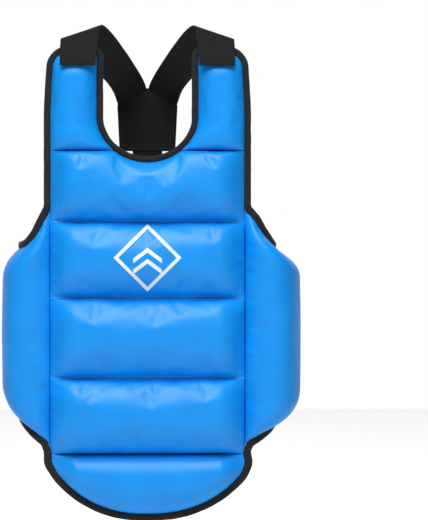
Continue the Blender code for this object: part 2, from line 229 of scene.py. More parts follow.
def soft_rise(distance: float, reach: float) -> float:
    """0 at a seam, rising like a quarter sine to 1 at reach from it."""
    return math.sin(math.pi / 2 * min(1.0, max(0.0, distance) / reach))


def off_middle(value: float, low: float, high: float) -> float:
    """0 halfway between low and high, rising evenly to 1 at both of them."""
    return min(1.0, abs(value - (low + high) / 2) / ((high - low) / 2))


def dome(t: float, flat: float = 2.4, steep: float = 0.6) -> float:
    """1 at t = 0 and 0 at t = 1, with a flat crown and steep sides."""
    return (1 - t**flat) ** steep


def wander(a: float, b: float, scale: float, seed: float) -> float:
    """Smooth noise from -1 to 1 over a surface, with bumps about scale across."""
    return noise.noise(Vector((a / scale, b / scale, seed)))


# ---- Surfaces that pads are laid on -----------------------------------------------


@dataclass(frozen=True)
class FlatSurface:
    """The front's own plane: a is X and height is measured forward from the lining."""

    side: int = 1

    def at(self, a: float, z: float, height: float) -> Vector:
        """The point at a, z and that height."""
        return Vector((self.side * a, -height, z))


@dataclass(frozen=True)
class WrapSurface:
    """A wing's lining: a short lead from the side seam, a quarter turn, then straight."""

    side: int
    lead: float = 4 * MM
    bend: float = 26 * MM

    def at(self, a: float, z: float, height: float) -> Vector:
        """The point a along the wing from its side seam, at z and that height.

        Args:
            a: distance along the wing from its side seam.
            z: height.
            height: distance off the lining, towards the outside.

        Returns:
            The point.
        """
        turn = self.bend * math.pi / 2
        if a < self.lead:
            x, y, nx, ny = a, 0.0, 0.0, -1.0
        elif a < self.lead + turn:
            angle = (a - self.lead) / self.bend
            x = self.lead + self.bend * math.sin(angle)
            y = self.bend * (1 - math.cos(angle))
            nx, ny = math.sin(angle), -math.cos(angle)
        else:
            x, y = self.lead + self.bend, self.bend + a - self.lead - turn
            nx, ny = 1.0, 0.0
        return Vector((self.side * (SIDE_SEAM + x + nx * height), y + ny * height, z))


Surface = FlatSurface | WrapSurface


# ---- Outlines ---------------------------------------------------------------------


@dataclass(frozen=True)
class NeckOpening:
    """The neck's edge: half an ellipse below and straight sides above."""

    half: float = 53 * MM
    drop: float = 48 * MM
    middle_z: float = 190 * MM

    def low(self, x: float) -> float:
        """Height of the cover's edge at x."""
        share = min(1.0, abs(x) / self.half)
        return self.middle_z - self.drop * math.sqrt(1 - share**2)

    def inner(self, z: float) -> float:
        """Distance of the cover's edge from the centre line at z."""
        down = min(1.0, max(0.0, self.middle_z - z) / self.drop)
        return self.half * math.sqrt(1 - down**2)


NECK = NeckOpening()


@dataclass(frozen=True)
class TabOutline:
    """A shoulder tab's cover: the neck's edge inside, straight outside, round on top."""

    outer: float = 103 * MM
    top: float = 258 * MM
    corner: float = 15 * MM
    lean: float = 4 * MM  # how much the outer edge leans inward at the top

    def leaning(self, z: float) -> float:
        """How far the outer edge has leaned inward at z."""
        up = max(0.0, z - NECK.middle_z) / (self.top - NECK.middle_z)
        return self.lean * up**1.5

    def right(self, z: float) -> float:
        """The outer edge's distance from the centre line at z."""
        over = max(0.0, z - (self.top - self.corner))
        rounded = math.sqrt(max(0.0, self.corner**2 - over**2))
        return self.outer - self.corner + rounded - self.leaning(z)


@dataclass(frozen=True)
class WingOutline:
    """A wing's cover: armhole and rounded tail at its root, corners cut at its end."""

    end: float = 97.6 * MM
    corner: float = 12 * MM
    top: float = 52.0 * MM
    root_top: float = 90.1 * MM
    low: float = -111.1 * MM
    root_low: float = -156.1 * MM
    armhole_reach: float = 42 * MM
    tail_reach: float = 65 * MM
    armhole_rise: float = 49 * MM
    hollow: float = 2.0  # how sharply the armhole's edge turns level
    tail_hollow: float = 1.4

    def cut(self, s: float) -> float:
        """How far the corners are cut back at s, rounded."""
        over = max(0.0, s - (self.end - self.corner))
        return self.corner - math.sqrt(max(0.0, self.corner**2 - over**2))

    def high(self, s: float) -> float:
        """The top edge at s along the wing from its side seam."""
        rise = self.armhole_rise * max(0.0, 1 - s / self.armhole_reach) ** self.hollow
        return min(self.root_top, self.top + rise) - 0.7 * self.cut(s)

    def bottom(self, s: float) -> float:
        """The bottom edge at s."""
        drop = max(0.0, 1 - s / self.tail_reach) ** self.tail_hollow
        return self.low + (self.root_low - self.low) * drop + self.cut(s)


@dataclass(frozen=True)
class FlapOutline:
    """The flap's cover: short straight sides and one broad curve below."""

    half: float = 102 * MM
    side_z: float = -174 * MM
    low_z: float = -229.5 * MM
    lean: float = 0.05  # how much fuller the flap hangs towards +X at its sides
    settled: float = 22 * MM  # how far below the seam it has leaned all the way

    def bottom(self, x: float) -> float:
        """The lower edge at x."""
        share = min(1.0, abs(x) / self.half)
        return self.side_z - (self.side_z - self.low_z) * dome(share, 2.3, 0.8)

    def leaned(self, x: float, z: float) -> float:
        """x moved sideways below the seam, as soft foam settles."""
        down = min(1.0, max(0.0, FLAP_SEAM - z) / self.settled)
        return x + self.lean * max(0.0, x) * down


TAB = TabOutline()
# soft foam never settles alike on both sides: the right wing hangs a little lower
WINGS = {-1: WingOutline(hollow=3.2), 1: WingOutline(low=-122 * MM)}
FLAP = FlapOutline()
SHOULDER_FILL, SHOULDER_REACH = 8 * MM, 30 * MM


def shoulder_fill(x: float, away: float) -> float:
    """Extra height round the shoulder seam, which the foam on both sides fills out.

    Args:
        x: distance from the centre line.
        away: distance from the seam.

    Returns:
        Metres, from 0 at the tapes and 30 mm from the seam.
    """
    t = off_middle(x, NECK.inner(SHOULDER_SEAM), TAB.outer)
    return SHOULDER_FILL * dome(t) * (1 - soft_rise(away, SHOULDER_REACH))


# ---- Finishes ---------------------------------------------------------------------


MATH, NOISE = "ShaderNodeMath", "ShaderNodeTexNoise"


def add_node(tree: bpy.types.NodeTree, kind: str, inputs: dict | tuple = (),
             **settings: object) -> bpy.types.Node:
    """Add a shader node with its settings, values and links.

    Args:
        tree: the material's node tree.
        kind: the node's type name.
        inputs: values, or output sockets to link, in order or by input name or number.
        **settings: the node's own properties.

    Returns:
        The new node.
    """
    made = tree.nodes.new(kind)
    for key, value in settings.items():
        setattr(made, key, value)
    given = inputs if isinstance(inputs, dict) else dict(enumerate(inputs))
    for key, value in given.items():
        if isinstance(value, bpy.types.NodeSocket):
            tree.links.new(value, made.inputs[key])
        else:
            made.inputs[key].default_value = value
    return made


def bump_scale(period: float) -> float:
    """Noise or Voronoi scale whose features are about period metres apart."""
    return 1.0 / period


@dataclass(frozen=True)
class BaseFinish:
    """A named material with a fresh Principled shader."""

    name: str

    def start(self) -> tuple[bpy.types.Material, bpy.types.NodeTree, bpy.types.Node]:
        """Make the material.

        Returns:
            The material, its node tree and its Principled shader.
        """
        material = bpy.data.materials.new(self.name)
        material.use_nodes = True
        tree = material.node_tree
        return material, tree, tree.nodes["Principled BSDF"]


@dataclass(frozen=True)
class PrintedMark:
    """The generic white print on the front: a diamond ring round two chevrons.

    It is screen-printed ink, so the eye sees a flat pale shape with a slightly soft edge.
    """

    colour: str = "e6eef4"
    radius: float = 33 * MM  # from its middle to the diamond's corners
    stroke: float = 2.6 * MM  # half of each line, measured straight across or up
    soft: float = 0.25 * MM
    lift: float = 1 * MM  # above the middle of the second channel
    reach: float = 15 * MM  # half the chevrons' width
    chevrons: tuple[float, float] = (-3.5 * MM, 8 * MM)
    slope: float = 0.75
    front_y: float = -4 * MM  # printed on what lies in front of this

    def band(self, tree: bpy.types.NodeTree, value: bpy.types.NodeSocket, middle: float,
             half: float) -> bpy.types.NodeSocket:
        """Mask of where a value is near a middle one, with a soft edge.

        Args:
            tree: the material's node tree.
            value: the value.
            middle: the middle one.
            half: how near it has to be.

        Returns:
            A socket that is 1 inside and 0 outside.
        """
        off = add_node(tree, MATH, (value, middle), operation="SUBTRACT")
        away = add_node(tree, MATH, (off.outputs[0],), operation="ABSOLUTE")
        inside = add_node(tree, MATH, (half, away.outputs[0]), operation="SUBTRACT")
        return add_node(tree, MATH, (inside.outputs[0], 1 / self.soft), operation="MULTIPLY",
                        use_clamp=True).outputs[0]

    def mask(self, tree: bpy.types.NodeTree, place: bpy.types.NodeSocket) -> bpy.types.NodeSocket:
        """Mask of the whole print.

        Args:
            tree: the material's node tree.
            place: Object coordinates.

        Returns:
            A socket that is 1 on the print and 0 off it.
        """
        middle_z = (SEAMS[2] + SEAMS[3]) / 2 + self.lift
        parts = add_node(tree, "ShaderNodeSeparateXYZ", (place,))
        across = add_node(tree, MATH, (parts.outputs[0],), operation="ABSOLUTE").outputs[0]
        up = add_node(tree, MATH, (parts.outputs[2], middle_z), operation="SUBTRACT").outputs[0]
        high = add_node(tree, MATH, (up,), operation="ABSOLUTE").outputs[0]
        diamond = add_node(tree, MATH, (across, high), operation="ADD").outputs[0]
        slope = add_node(tree, MATH, (across, self.slope, up), operation="MULTIPLY_ADD").outputs[0]
        within = self.band(tree, across, 0.0, self.reach)
        shape = self.band(tree, diamond, self.radius, self.stroke)
        for middle in self.chevrons:
            bar = add_node(tree, MATH, (self.band(tree, slope, middle, self.stroke), within),
                           operation="MULTIPLY")
            shape = add_node(tree, MATH, (shape, bar.outputs[0]), operation="MAXIMUM").outputs[0]
        front = add_node(tree, MATH, (parts.outputs[1], self.front_y), operation="LESS_THAN")
        return add_node(tree, MATH, (shape, front.outputs[0]), operation="MULTIPLY").outputs[0]


@dataclass(frozen=True)
class VinylLeather(BaseFinish):
    """Vinyl leather-cloth: knitted backing with a calendered, embossed PVC face.

    The eye sees a deep even colour under a semi-gloss skin, with a fine pebble grain and
    a slow unevenness that breaks up the reflections.
    """

    colour: str
    mark: PrintedMark | None = None
    grain: float = 0.9 * MM  # drawn a little coarser than the real 0.6 mm grain
    ripple: float = 5 * MM  # slight ripples left by calendering
    patches: float = 28 * MM  # slow changes of tone
    deepest: float = 0.90

    def make(self) -> bpy.types.Material:
        """The finished material.

        Returns:
            The finished material.
        """
        material, tree, shader = self.start()
        place = add_node(tree, "ShaderNodeTexCoord").outputs["Object"]
        slow = add_node(tree, NOISE, {
            "Vector": place, "Scale": bump_scale(self.patches), "Detail": 2.0})
        peel = add_node(tree, NOISE, {
            "Vector": place, "Scale": bump_scale(self.ripple), "Detail": 3.0})
        pebble = add_node(tree, "ShaderNodeTexVoronoi", {
            "Vector": place, "Scale": bump_scale(self.grain)}, feature="SMOOTH_F1")
        ramp = add_node(tree, "ShaderNodeValToRGB", {0: slow.outputs["Fac"]})
        deep = hex_colour(self.colour)
        deeper = (*(c * self.deepest for c in deep[:3]), 1)
        for stop, position, tone in zip(ramp.color_ramp.elements, (0.3, 0.7), (deeper, deep)):
            stop.position, stop.color = position, tone
        colour = ramp.outputs["Color"]
        if self.mark:
            colour = add_node(tree, "ShaderNodeMix", {
                0: self.mark.mask(tree, place), 6: colour, 7: hex_colour(self.mark.colour)},
                data_type="RGBA").outputs[2]
        tree.links.new(colour, shader.inputs["Base Color"])
        rough = add_node(tree, "ShaderNodeMapRange", {
            0: peel.outputs["Fac"], 3: 0.42, 4: 0.52})
        tree.links.new(rough.outputs[0], shader.inputs["Roughness"])
        first = add_node(tree, "ShaderNodeBump", {
            "Height": pebble.outputs["Distance"], "Strength": 0.25, "Distance": 0.05 * MM})
        second = add_node(tree, "ShaderNodeBump", {
            "Height": peel.outputs["Fac"], "Strength": 0.4, "Distance": 0.12 * MM,
            "Normal": first.outputs[0]})
        tree.links.new(second.outputs[0], shader.inputs["Normal"])
        shader.inputs["Coat Weight"].default_value = 0.05
        shader.inputs["Coat Roughness"].default_value = 0.3
        shader.inputs["Specular IOR Level"].default_value = 0.34
        return material


@dataclass(frozen=True)
class WovenTape(BaseFinish):
    """Narrow woven polyester: binding, lining, elastic or hook tape.

    The eye sees dull threads with small dark gaps and a faint bloom at the edges. The colour
    follows the weave's height: the dark in the gaps is painted shade and the paler thread tops are
    painted light, with random tone from loose fibres. The threads follow the piece's own UV map,
    whose unit is a metre.
    """

    colour: str
    # high: a paler copy of the colour, painted on the threads' tops as painted light
    high: str
    across: float  # spacing of the threads that run along the piece
    along: float  # spacing of the ribs that run across it
    depth: float
    fuzz: float = 0.3
    roughness: float = 0.75
    lint: float = 1.2 * MM  # size of the loose fibres that break the weave up

    def make(self) -> bpy.types.Material:
        """The finished material.

        Returns:
            The finished material.
        """
        material, tree, shader = self.start()
        uv = add_node(tree, "ShaderNodeUVMap", uv_map="weave").outputs[0]
        parts = add_node(tree, "ShaderNodeSeparateXYZ", {0: uv})
        waves = []
        for socket, period in ((parts.outputs[0], self.across), (parts.outputs[1], self.along)):
            turned = add_node(tree, MATH, (socket, 2 * math.pi / period), operation="MULTIPLY")
            waves.append(add_node(tree, MATH, (turned.outputs[0],), operation="SINE").outputs[0])
        woven = add_node(tree, MATH, tuple(waves), operation="MULTIPLY").outputs[0]
        both = add_node(tree, MATH, (woven, waves[1]), operation="ADD").outputs[0]
        place = add_node(tree, "ShaderNodeTexCoord").outputs["Object"]
        lint = add_node(tree, NOISE, {
            "Vector": place, "Scale": bump_scale(self.lint), "Detail": 4.0})
        fluff = add_node(tree, MATH, (lint.outputs["Fac"], 1.2), operation="MULTIPLY").outputs[0]
        height = add_node(tree, MATH, (both, 0.5, fluff), operation="MULTIPLY_ADD").outputs[0]
        # the weave's height runs from about -0.8 between threads to 2 on top of them
        share = add_node(tree, "ShaderNodeMapRange", {0: height, 1: -0.8, 2: 2.0})
        # painted shade and light: darker colour in the gaps between threads, paler on their tops,
        # by the weave's height
        colour = add_node(tree, "ShaderNodeMix", {
            0: share.outputs[0], 6: hex_colour(self.colour), 7: hex_colour(self.high)},
            data_type="RGBA").outputs[2]
        tree.links.new(colour, shader.inputs["Base Color"])
        bump = add_node(tree, "ShaderNodeBump", {
            "Height": height, "Strength": 0.8, "Distance": self.depth})
        tree.links.new(bump.outputs[0], shader.inputs["Normal"])
        shader.inputs["Roughness"].default_value = self.roughness
        shader.inputs["Sheen Weight"].default_value = self.fuzz
        shader.inputs["Sheen Roughness"].default_value = 0.4
        shader.inputs["Specular IOR Level"].default_value = 0.35
        return material


@dataclass(frozen=True)
class Thread(BaseFinish):
    """Bonded polyester sewing thread: twisted, with a slight gloss along each stitch."""

    colour: str

    def make(self) -> bpy.types.Material:
        """The finished material.

        Returns:
            The finished material.
        """
        material, tree, shader = self.start()
        place = add_node(tree, "ShaderNodeTexCoord").outputs["Object"]
        twist = add_node(tree, NOISE, {
            "Vector": place, "Scale": bump_scale(0.5 * MM), "Detail": 2.0})
        deep = hex_colour(self.colour)
        # pale is a lighter copy of the thread's colour, painted where the twist stands up as
        # painted light
        pale = tuple(min(1.0, c * 1.5 + 0.004) for c in deep[:3]) + (1.0,)
        colour = add_node(tree, "ShaderNodeMix", {
            0: twist.outputs["Fac"], 6: deep, 7: pale}, data_type="RGBA").outputs[2]
        tree.links.new(colour, shader.inputs["Base Color"])
        bump = add_node(tree, "ShaderNodeBump", {
            "Height": twist.outputs["Fac"], "Strength": 0.5, "Distance": 0.08 * MM})
        tree.links.new(bump.outputs[0], shader.inputs["Normal"])
        shader.inputs["Roughness"].default_value = 0.5
        return material


class Wardrobe:
    """Every finish of the protector, made once."""

    def __init__(self) -> None:
        """Make the materials."""
        blue = "0093ee"
        self.front_vinyl = VinylLeather("printed_blue_vinyl_leather", blue,
                                        PrintedMark()).make()
        self.vinyl = VinylLeather("blue_vinyl_leather", blue).make()
        # each tape's first colour fills the gaps between threads as painted shade, its second the
        # threads' tops as painted light
        self.tape = WovenTape("black_polyester_binding_tape", "0a0b0c", "17191b", 0.7 * MM,
                              0.7 * MM, 0.12 * MM, 0.12).make()
        # the real ribs are about 1 mm apart, drawn at 1.6 mm so that they show
        self.webbing = WovenTape("black_ribbed_elastic_webbing", "040405", "161617", 1.4 * MM,
                                 1.6 * MM, 0.4 * MM, 0.0, 0.85).make()
        self.lining = WovenTape("black_knitted_nylon_lining", "111215", "26282c", 1.0 * MM,
                                1.0 * MM, 0.12 * MM, 0.3, 0.6).make()
        self.hook = WovenTape("black_hook_tape", "0d0d0e", "2a2a2b", 1.5 * MM, 1.5 * MM,
                              0.5 * MM, 0.2, 0.55).make()
        self.blue_thread = Thread("blue_bonded_thread", "0565b8").make()
        self.black_thread = Thread("black_bonded_thread", "2a2a2b").make()


def dress(obj: bpy.types.Object, material: bpy.types.Material, slot: Finish) -> None:
    """Give a piece its material and report it.

    Args:
        obj: the piece.
        material: its finish.
        slot: not used.
    """
    obj.data.materials.clear()
    obj.data.materials.append(material)
    LOG.info("%s: %s", obj.name, material.name)


# ---- Stuffing and sewing ----------------------------------------------------------


VINYL_CLOTH = {"quality": 6, "mass": 0.25, "tension_stiffness": 30,
               "compression_stiffness": 30, "shear_stiffness": 10, "bending_stiffness": 3.0,
               "air_damping": 4, "use_pressure": True}


@dataclass(frozen=True)
class Stuffing:
    """How a sheet is blown up against its held seams by a cloth simulation."""

    pressure: float = 3.0
    slack: float = 0.008  # how much longer the cloth is than the shape it starts from
    cap: float = 4.5 * MM  # the furthest that a point may move
    frames: int = 18

    def apply(self, obj: bpy.types.Object, held: Sequence[int]) -> None:
        """Simulate, cap the movement and keep the result as the mesh.

        Args:
            obj: the sheet.
            held: numbers of the vertices that are sewn down.
        """
        group = obj.vertex_groups.new(name="sewn")
        group.add([int(i) for i in held], 1.0, "REPLACE")
        cloth = obj.modifiers.new("stuffing", "CLOTH")
        rules = cloth.settings
        for key, value in VINYL_CLOTH.items():
            setattr(rules, key, value)
        rules.uniform_pressure_force = self.pressure
        rules.shrink_min = -self.slack
        rules.vertex_group_mass = "sewn"
        rules.effector_weights.gravity = 0
        cloth.collision_settings.use_collision = False
        cloth.collision_settings.use_self_collision = False
        scene = bpy.context.scene
        cloth.point_cache.frame_start, cloth.point_cache.frame_end = 1, self.frames
        for number in range(1, self.frames + 1):
            scene.frame_set(number)
        moved = obj.evaluated_get(bpy.context.evaluated_depsgraph_get())
        count = len(obj.data.vertices)
        after, before = np.empty(count * 3), np.empty(count * 3)
        moved.data.vertices.foreach_get("co", after)
        obj.data.vertices.foreach_get("co", before)
        obj.modifiers.remove(cloth)
        obj.vertex_groups.remove(group)
        step = (after - before).reshape(-1, 3)
        length = np.linalg.norm(step, axis=1, keepdims=True)
        step *= np.minimum(1.0, self.cap / np.maximum(length, TINY))
        obj.data.vertices.foreach_set("co", (before.reshape(-1, 3) + step).ravel())
        obj.data.update()
        scene.frame_set(1)


@dataclass
class Sheet:
    """A grid of points over a pad, kept so that seams and threads can be found on it.

    points has one row for each step up the pad and one column for each step across it.
    """

    name: str
    points: Points
    obj: bpy.types.Object = field(init=False)

    def __post_init__(self) -> None:
        """Make the mesh."""
        rows, columns = self.points.shape[:2]
        self.obj = mesh_object(self.name, self.points.reshape(-1, 3), grid_faces(rows, columns))

    def border(self) -> list[int]:
        """Numbers of the vertices round the sheet's edge."""
        rows, columns = self.points.shape[:2]
        number = np.arange(rows * columns).reshape(rows, columns)
        return sorted({*number[0], *number[-1], *number[:, 0], *number[:, -1]})

    def row(self, j: int) -> list[int]:
        """Numbers of the vertices in row j."""
        columns = self.points.shape[1]
        return list(range(j * columns, (j + 1) * columns))

    def refresh(self) -> None:
        """Read the points back after the mesh has been stuffed."""
        flat = np.empty(self.points.size)
        self.obj.data.vertices.foreach_get("co", flat)
        self.points = flat.reshape(self.points.shape)

    def finish(self, thickness: float) -> None:
        """Subdivide the sheet once and give it its thickness.

        Args:
            thickness: how thick the cloth is.
        """
        add_modifier(self.obj, "SUBSURF", levels=1, render_levels=1)
        add_modifier(self.obj, "SOLIDIFY", thickness=thickness, offset=-1)
        apply_modifiers(self.obj)
        self.obj.data.shade_smooth()


def region_points(rows: int, columns: int, side: int,
                  point: Callable[[float, float], Vector]) -> Points:
    """point(u, v) over a grid, with u turned round on the left so faces look outward.

    Args:
        rows: rows of points.
        columns: points in a row.
        side: -1 on the left, where the faces would look inward, else 1.
        point: gives the place for u and v from 0 to 1.

    Returns:
        Points in rows, up the pad, and columns, across it.
    """
    out = np.empty((rows, columns, 3))
    for j in range(rows):
        for i in range(columns):
            u = i / (columns - 1)
            out[j, i] = point(1 - u if side < 0 else u, j / (rows - 1))
    return out


def stitch_shape() -> tuple[Points, list[tuple[int, ...]]]:
    """One stitch, a small bead 1 long on X, modelled once and copied for every seam.

    Returns:
        Its points and faces.
    """
    bpy.ops.object.select_all(action="DESELECT")
    bpy.ops.mesh.primitive_uv_sphere_add(segments=6, ring_count=4, radius=0.5,
                                         rotation=(0, math.pi / 2, 0))
    bead = bpy.context.object
    bpy.ops.object.transform_apply(rotation=True)
    bpy.ops.object.mode_set(mode="EDIT")
    bpy.ops.mesh.select_all(action="SELECT")
    bpy.ops.transform.resize(value=(1.0, 0.24, 0.2))
    bpy.ops.object.mode_set(mode="OBJECT")
    points = np.array([v.co for v in bead.data.vertices], float)
    faces = [tuple(p.vertices) for p in bead.data.polygons]
    bpy.data.objects.remove(bead)
    return points, faces


@dataclass
class Threads:
    """Rows of stitches that belong to one body."""

    name: str
    pitch: float = 3.4 * MM
    length: float = 2.6 * MM
    lift: float = 0.15 * MM
    near: float = 0.4 * MM  # how far ahead and behind a stitch its direction is read
    rows: list[tuple[list[Vector], list[Vector]]] = field(default_factory=list)

    def along(self, line: Sequence[Vector], normals: Sequence[Vector]) -> None:
        """Add a row of stitches along a line on a surface with those normals."""
        self.rows.append((list(line), list(normals)))

    def make(self, shape: tuple[Points, list[tuple[int, ...]]]) -> bpy.types.Object:
        """All the stitches as one piece.

        Args:
            shape: one stitch's points and faces.

        Returns:
            The piece.
        """
        base, faces = shape
        points, quads = [], []
        for line, normals in self.rows:
            spots = np.array([tuple(p) for p in line])
            ups = np.array([tuple(n) for n in normals])
            run = lengths(line)
            for s in np.arange(self.pitch / 2, run[-1], self.pitch):
                here, up = point_at(s, run, spots), point_at(s, run, ups)
                x = point_at(s + self.near, run, spots) - point_at(s - self.near, run, spots)
                x /= max(np.linalg.norm(x), TINY)
                y = np.cross(up, x)
                y /= max(np.linalg.norm(y), TINY)
                z = np.cross(x, y)
                offset = len(points)
                turn = np.stack([x, y, z]) * self.length
                points.extend(base @ turn + here + z * self.lift)
                quads.extend(tuple(offset + i for i in f) for f in faces)
        return mesh_object(self.name, points, quads)


def grid_normal(points: Points, j: int, i: int) -> Vector:
    """Outward normal of a grid of points at row j, column i.

    Args:
        points: the grid.
        j: the row.
        i: the column.

    Returns:
        The unit normal.
    """
    rows, columns = points.shape[:2]
    du = points[j, min(i + 1, columns - 1)] - points[j, max(i - 1, 0)]
    dv = points[min(j + 1, rows - 1), i] - points[max(j - 1, 0), i]
    return Vector(np.cross(du, dv)).normalized()


def metre_uv(obj: bpy.types.Object, across: Sequence[float], along: Sequence[float]) -> None:
    """Give a piece the UV map its weave follows, in metres.

    Args:
        obj: the piece.
        across: each vertex's distance across the cloth.
        along: each vertex's distance along it.
    """
    while obj.data.uv_layers:
        obj.data.uv_layers.remove(obj.data.uv_layers[0])
    layer = obj.data.uv_layers.new(name="weave")
    for loop in obj.data.loops:
        i = loop.vertex_index
        layer.data[loop.index].uv = (across[i], along[i])


def ribbon(name: str, rails: Sequence[Sequence[Vector]], thickness: float,
           across: int = 8) -> bpy.types.Object:
    """Webbing or cloth between two rails, thickened along its outward side.

    Args:
        name: the piece's name.
        rails: two lines with the same number of points.
        thickness: how far it grows to the side its faces look to.
        across: how many faces lie across it.

    Returns:
        The finished ribbon.
    """
    first, second = rails
    grid = [[a.lerp(b, i / across) for i in range(across + 1)] for a, b in zip(first, second)]
    run = lengths([a.lerp(b, 0.5) for a, b in zip(first, second)])
    width = (second[0] - first[0]).length
    obj = mesh_object(name, [p for row in grid for p in row], grid_faces(len(grid), across + 1))
    metre_uv(obj, [i / across * width for _ in grid for i in range(across + 1)],
             [s for s in run for _ in range(across + 1)])
    add_modifier(obj, "SOLIDIFY", thickness=thickness, offset=1)
    add_modifier(obj, "BEVEL", width=0.3 * thickness, segments=2, limit_method="ANGLE",
                 angle_limit=math.radians(50))
    apply_modifiers(obj)
    return obj


# ---- Pads -------------------------------------------------------------------------


def pucker(along: float, distance: float, seed: float, reach: float = 9 * MM) -> float:
    """Small folds that run in from a seam, fading at reach from it.

    Args:
        along: distance along the seam.
        distance: distance from the seam.
        seed: picks the folds.
        reach: how far the folds run in.

    Returns:
        A number from about -1 to 1.
    """
    near = math.exp(-((distance / reach) ** 2)) * min(1.0, distance / (1.5 * MM))
    return near * (wander(along, distance * 0.25, 7 * MM, seed)
                   + 0.5 * wander(along, distance * 0.3, 3.2 * MM, seed + 9))


@dataclass
class Pad:
    """One sewn pad: a stuffed cover over its foam, with a stretched lining behind."""

    name: str
    side: int
    surface: Surface
    body: str = ""
    grid: tuple[int, int] = (60, 60)
    crown: float = 22 * MM
    swell: float = 1.6 * MM  # how far the foam pushes the lining out behind
    material_name: str = "vinyl"
    stuffing: Stuffing = Stuffing()

    def region(self, u: float, v: float) -> tuple[float, float]:
        """(a, z) inside the outline for u and v from 0 to 1."""
        raise NotImplementedError

    def place(self, a: float, z: float) -> tuple[float, float]:
        """Where the point (a, z) of the cut pattern lies on the surface."""
        return a, z

    def rise(self, a: float, z: float) -> float:
        """How full the pad is at (a, z) before it is stuffed, from 0 to 1."""
        raise NotImplementedError

    def height(self, a: float, z: float) -> float:
        """Height of the cover above the lining's outer face."""
        return SEWN + self.crown * self.rise(a, z)

    def held(self, sheet: Sheet) -> list[int]:
        """Numbers of the sheet's vertices that are sewn down."""
        return sheet.border()

    def cover(self, wardrobe: Wardrobe, nodes: Sequence[str]) -> Sheet:
        """Make, stuff and dress the cover, which stands for its CAD nodes.

        Args:
            wardrobe: the finishes.
            nodes: names of the CAD nodes that it replaces.

        Returns:
            The cover.
        """

        def point(u: float, v: float) -> Vector:
            """The cover's point at u, v."""
            a, z = self.region(u, v)
            return self.surface.at(*self.place(a, z), self.height(a, z))

        rows, columns = self.grid
        sheet = Sheet(self.name + "_cover_stuffed", region_points(rows, columns, self.side, point))
        self.stuffing.apply(sheet.obj, self.held(sheet))
        sheet.refresh()
        sheet.finish(LEATHER_THICK)
        dress(sheet.obj, getattr(wardrobe, self.material_name), Finish.LEATHER)
        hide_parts(*nodes)
        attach(sheet.obj, self.body)
        return sheet

    def puff(self, a: float, z: float) -> float:
        """How far the lining swells backward at (a, z)."""
        return self.swell * math.sqrt(max(0.0, self.rise(a, z)))

    def lining(self, wardrobe: Wardrobe, node: str) -> Sheet:
        """Make the lining behind the foam, cut to the pad's own outline.

        Args:
            wardrobe: the finishes.
            node: name of the CAD node that it replaces.

        Returns:
            The lining.
        """

        def point(u: float, v: float) -> Vector:
            """The lining's point at u, v."""
            a, z = self.region(u, v)
            return self.surface.at(*self.place(a, z), LINING_FACE - self.puff(a, z))

        rows, columns = (n // 2 + 1 for n in self.grid)
        sheet = Sheet(self.name + "_lining_cloth", region_points(rows, columns, self.side, point))
        points, obj = sheet.points, sheet.obj
        across = lengths([Vector(p) for p in points[rows // 2]])
        along = points[:, :, 2].ravel()
        metre_uv(obj, np.tile(across, rows), along)
        add_modifier(obj, "SOLIDIFY", thickness=LINING_THICK, offset=-1)
        obj.data.flip_normals()
        apply_modifiers(obj)
        obj.data.shade_smooth()
        dress(obj, wardrobe.lining, Finish.LINING)
        # a cut sheet is never more than the rectangle that it is cut from
        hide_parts(node)
        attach(obj, self.body)
        return sheet


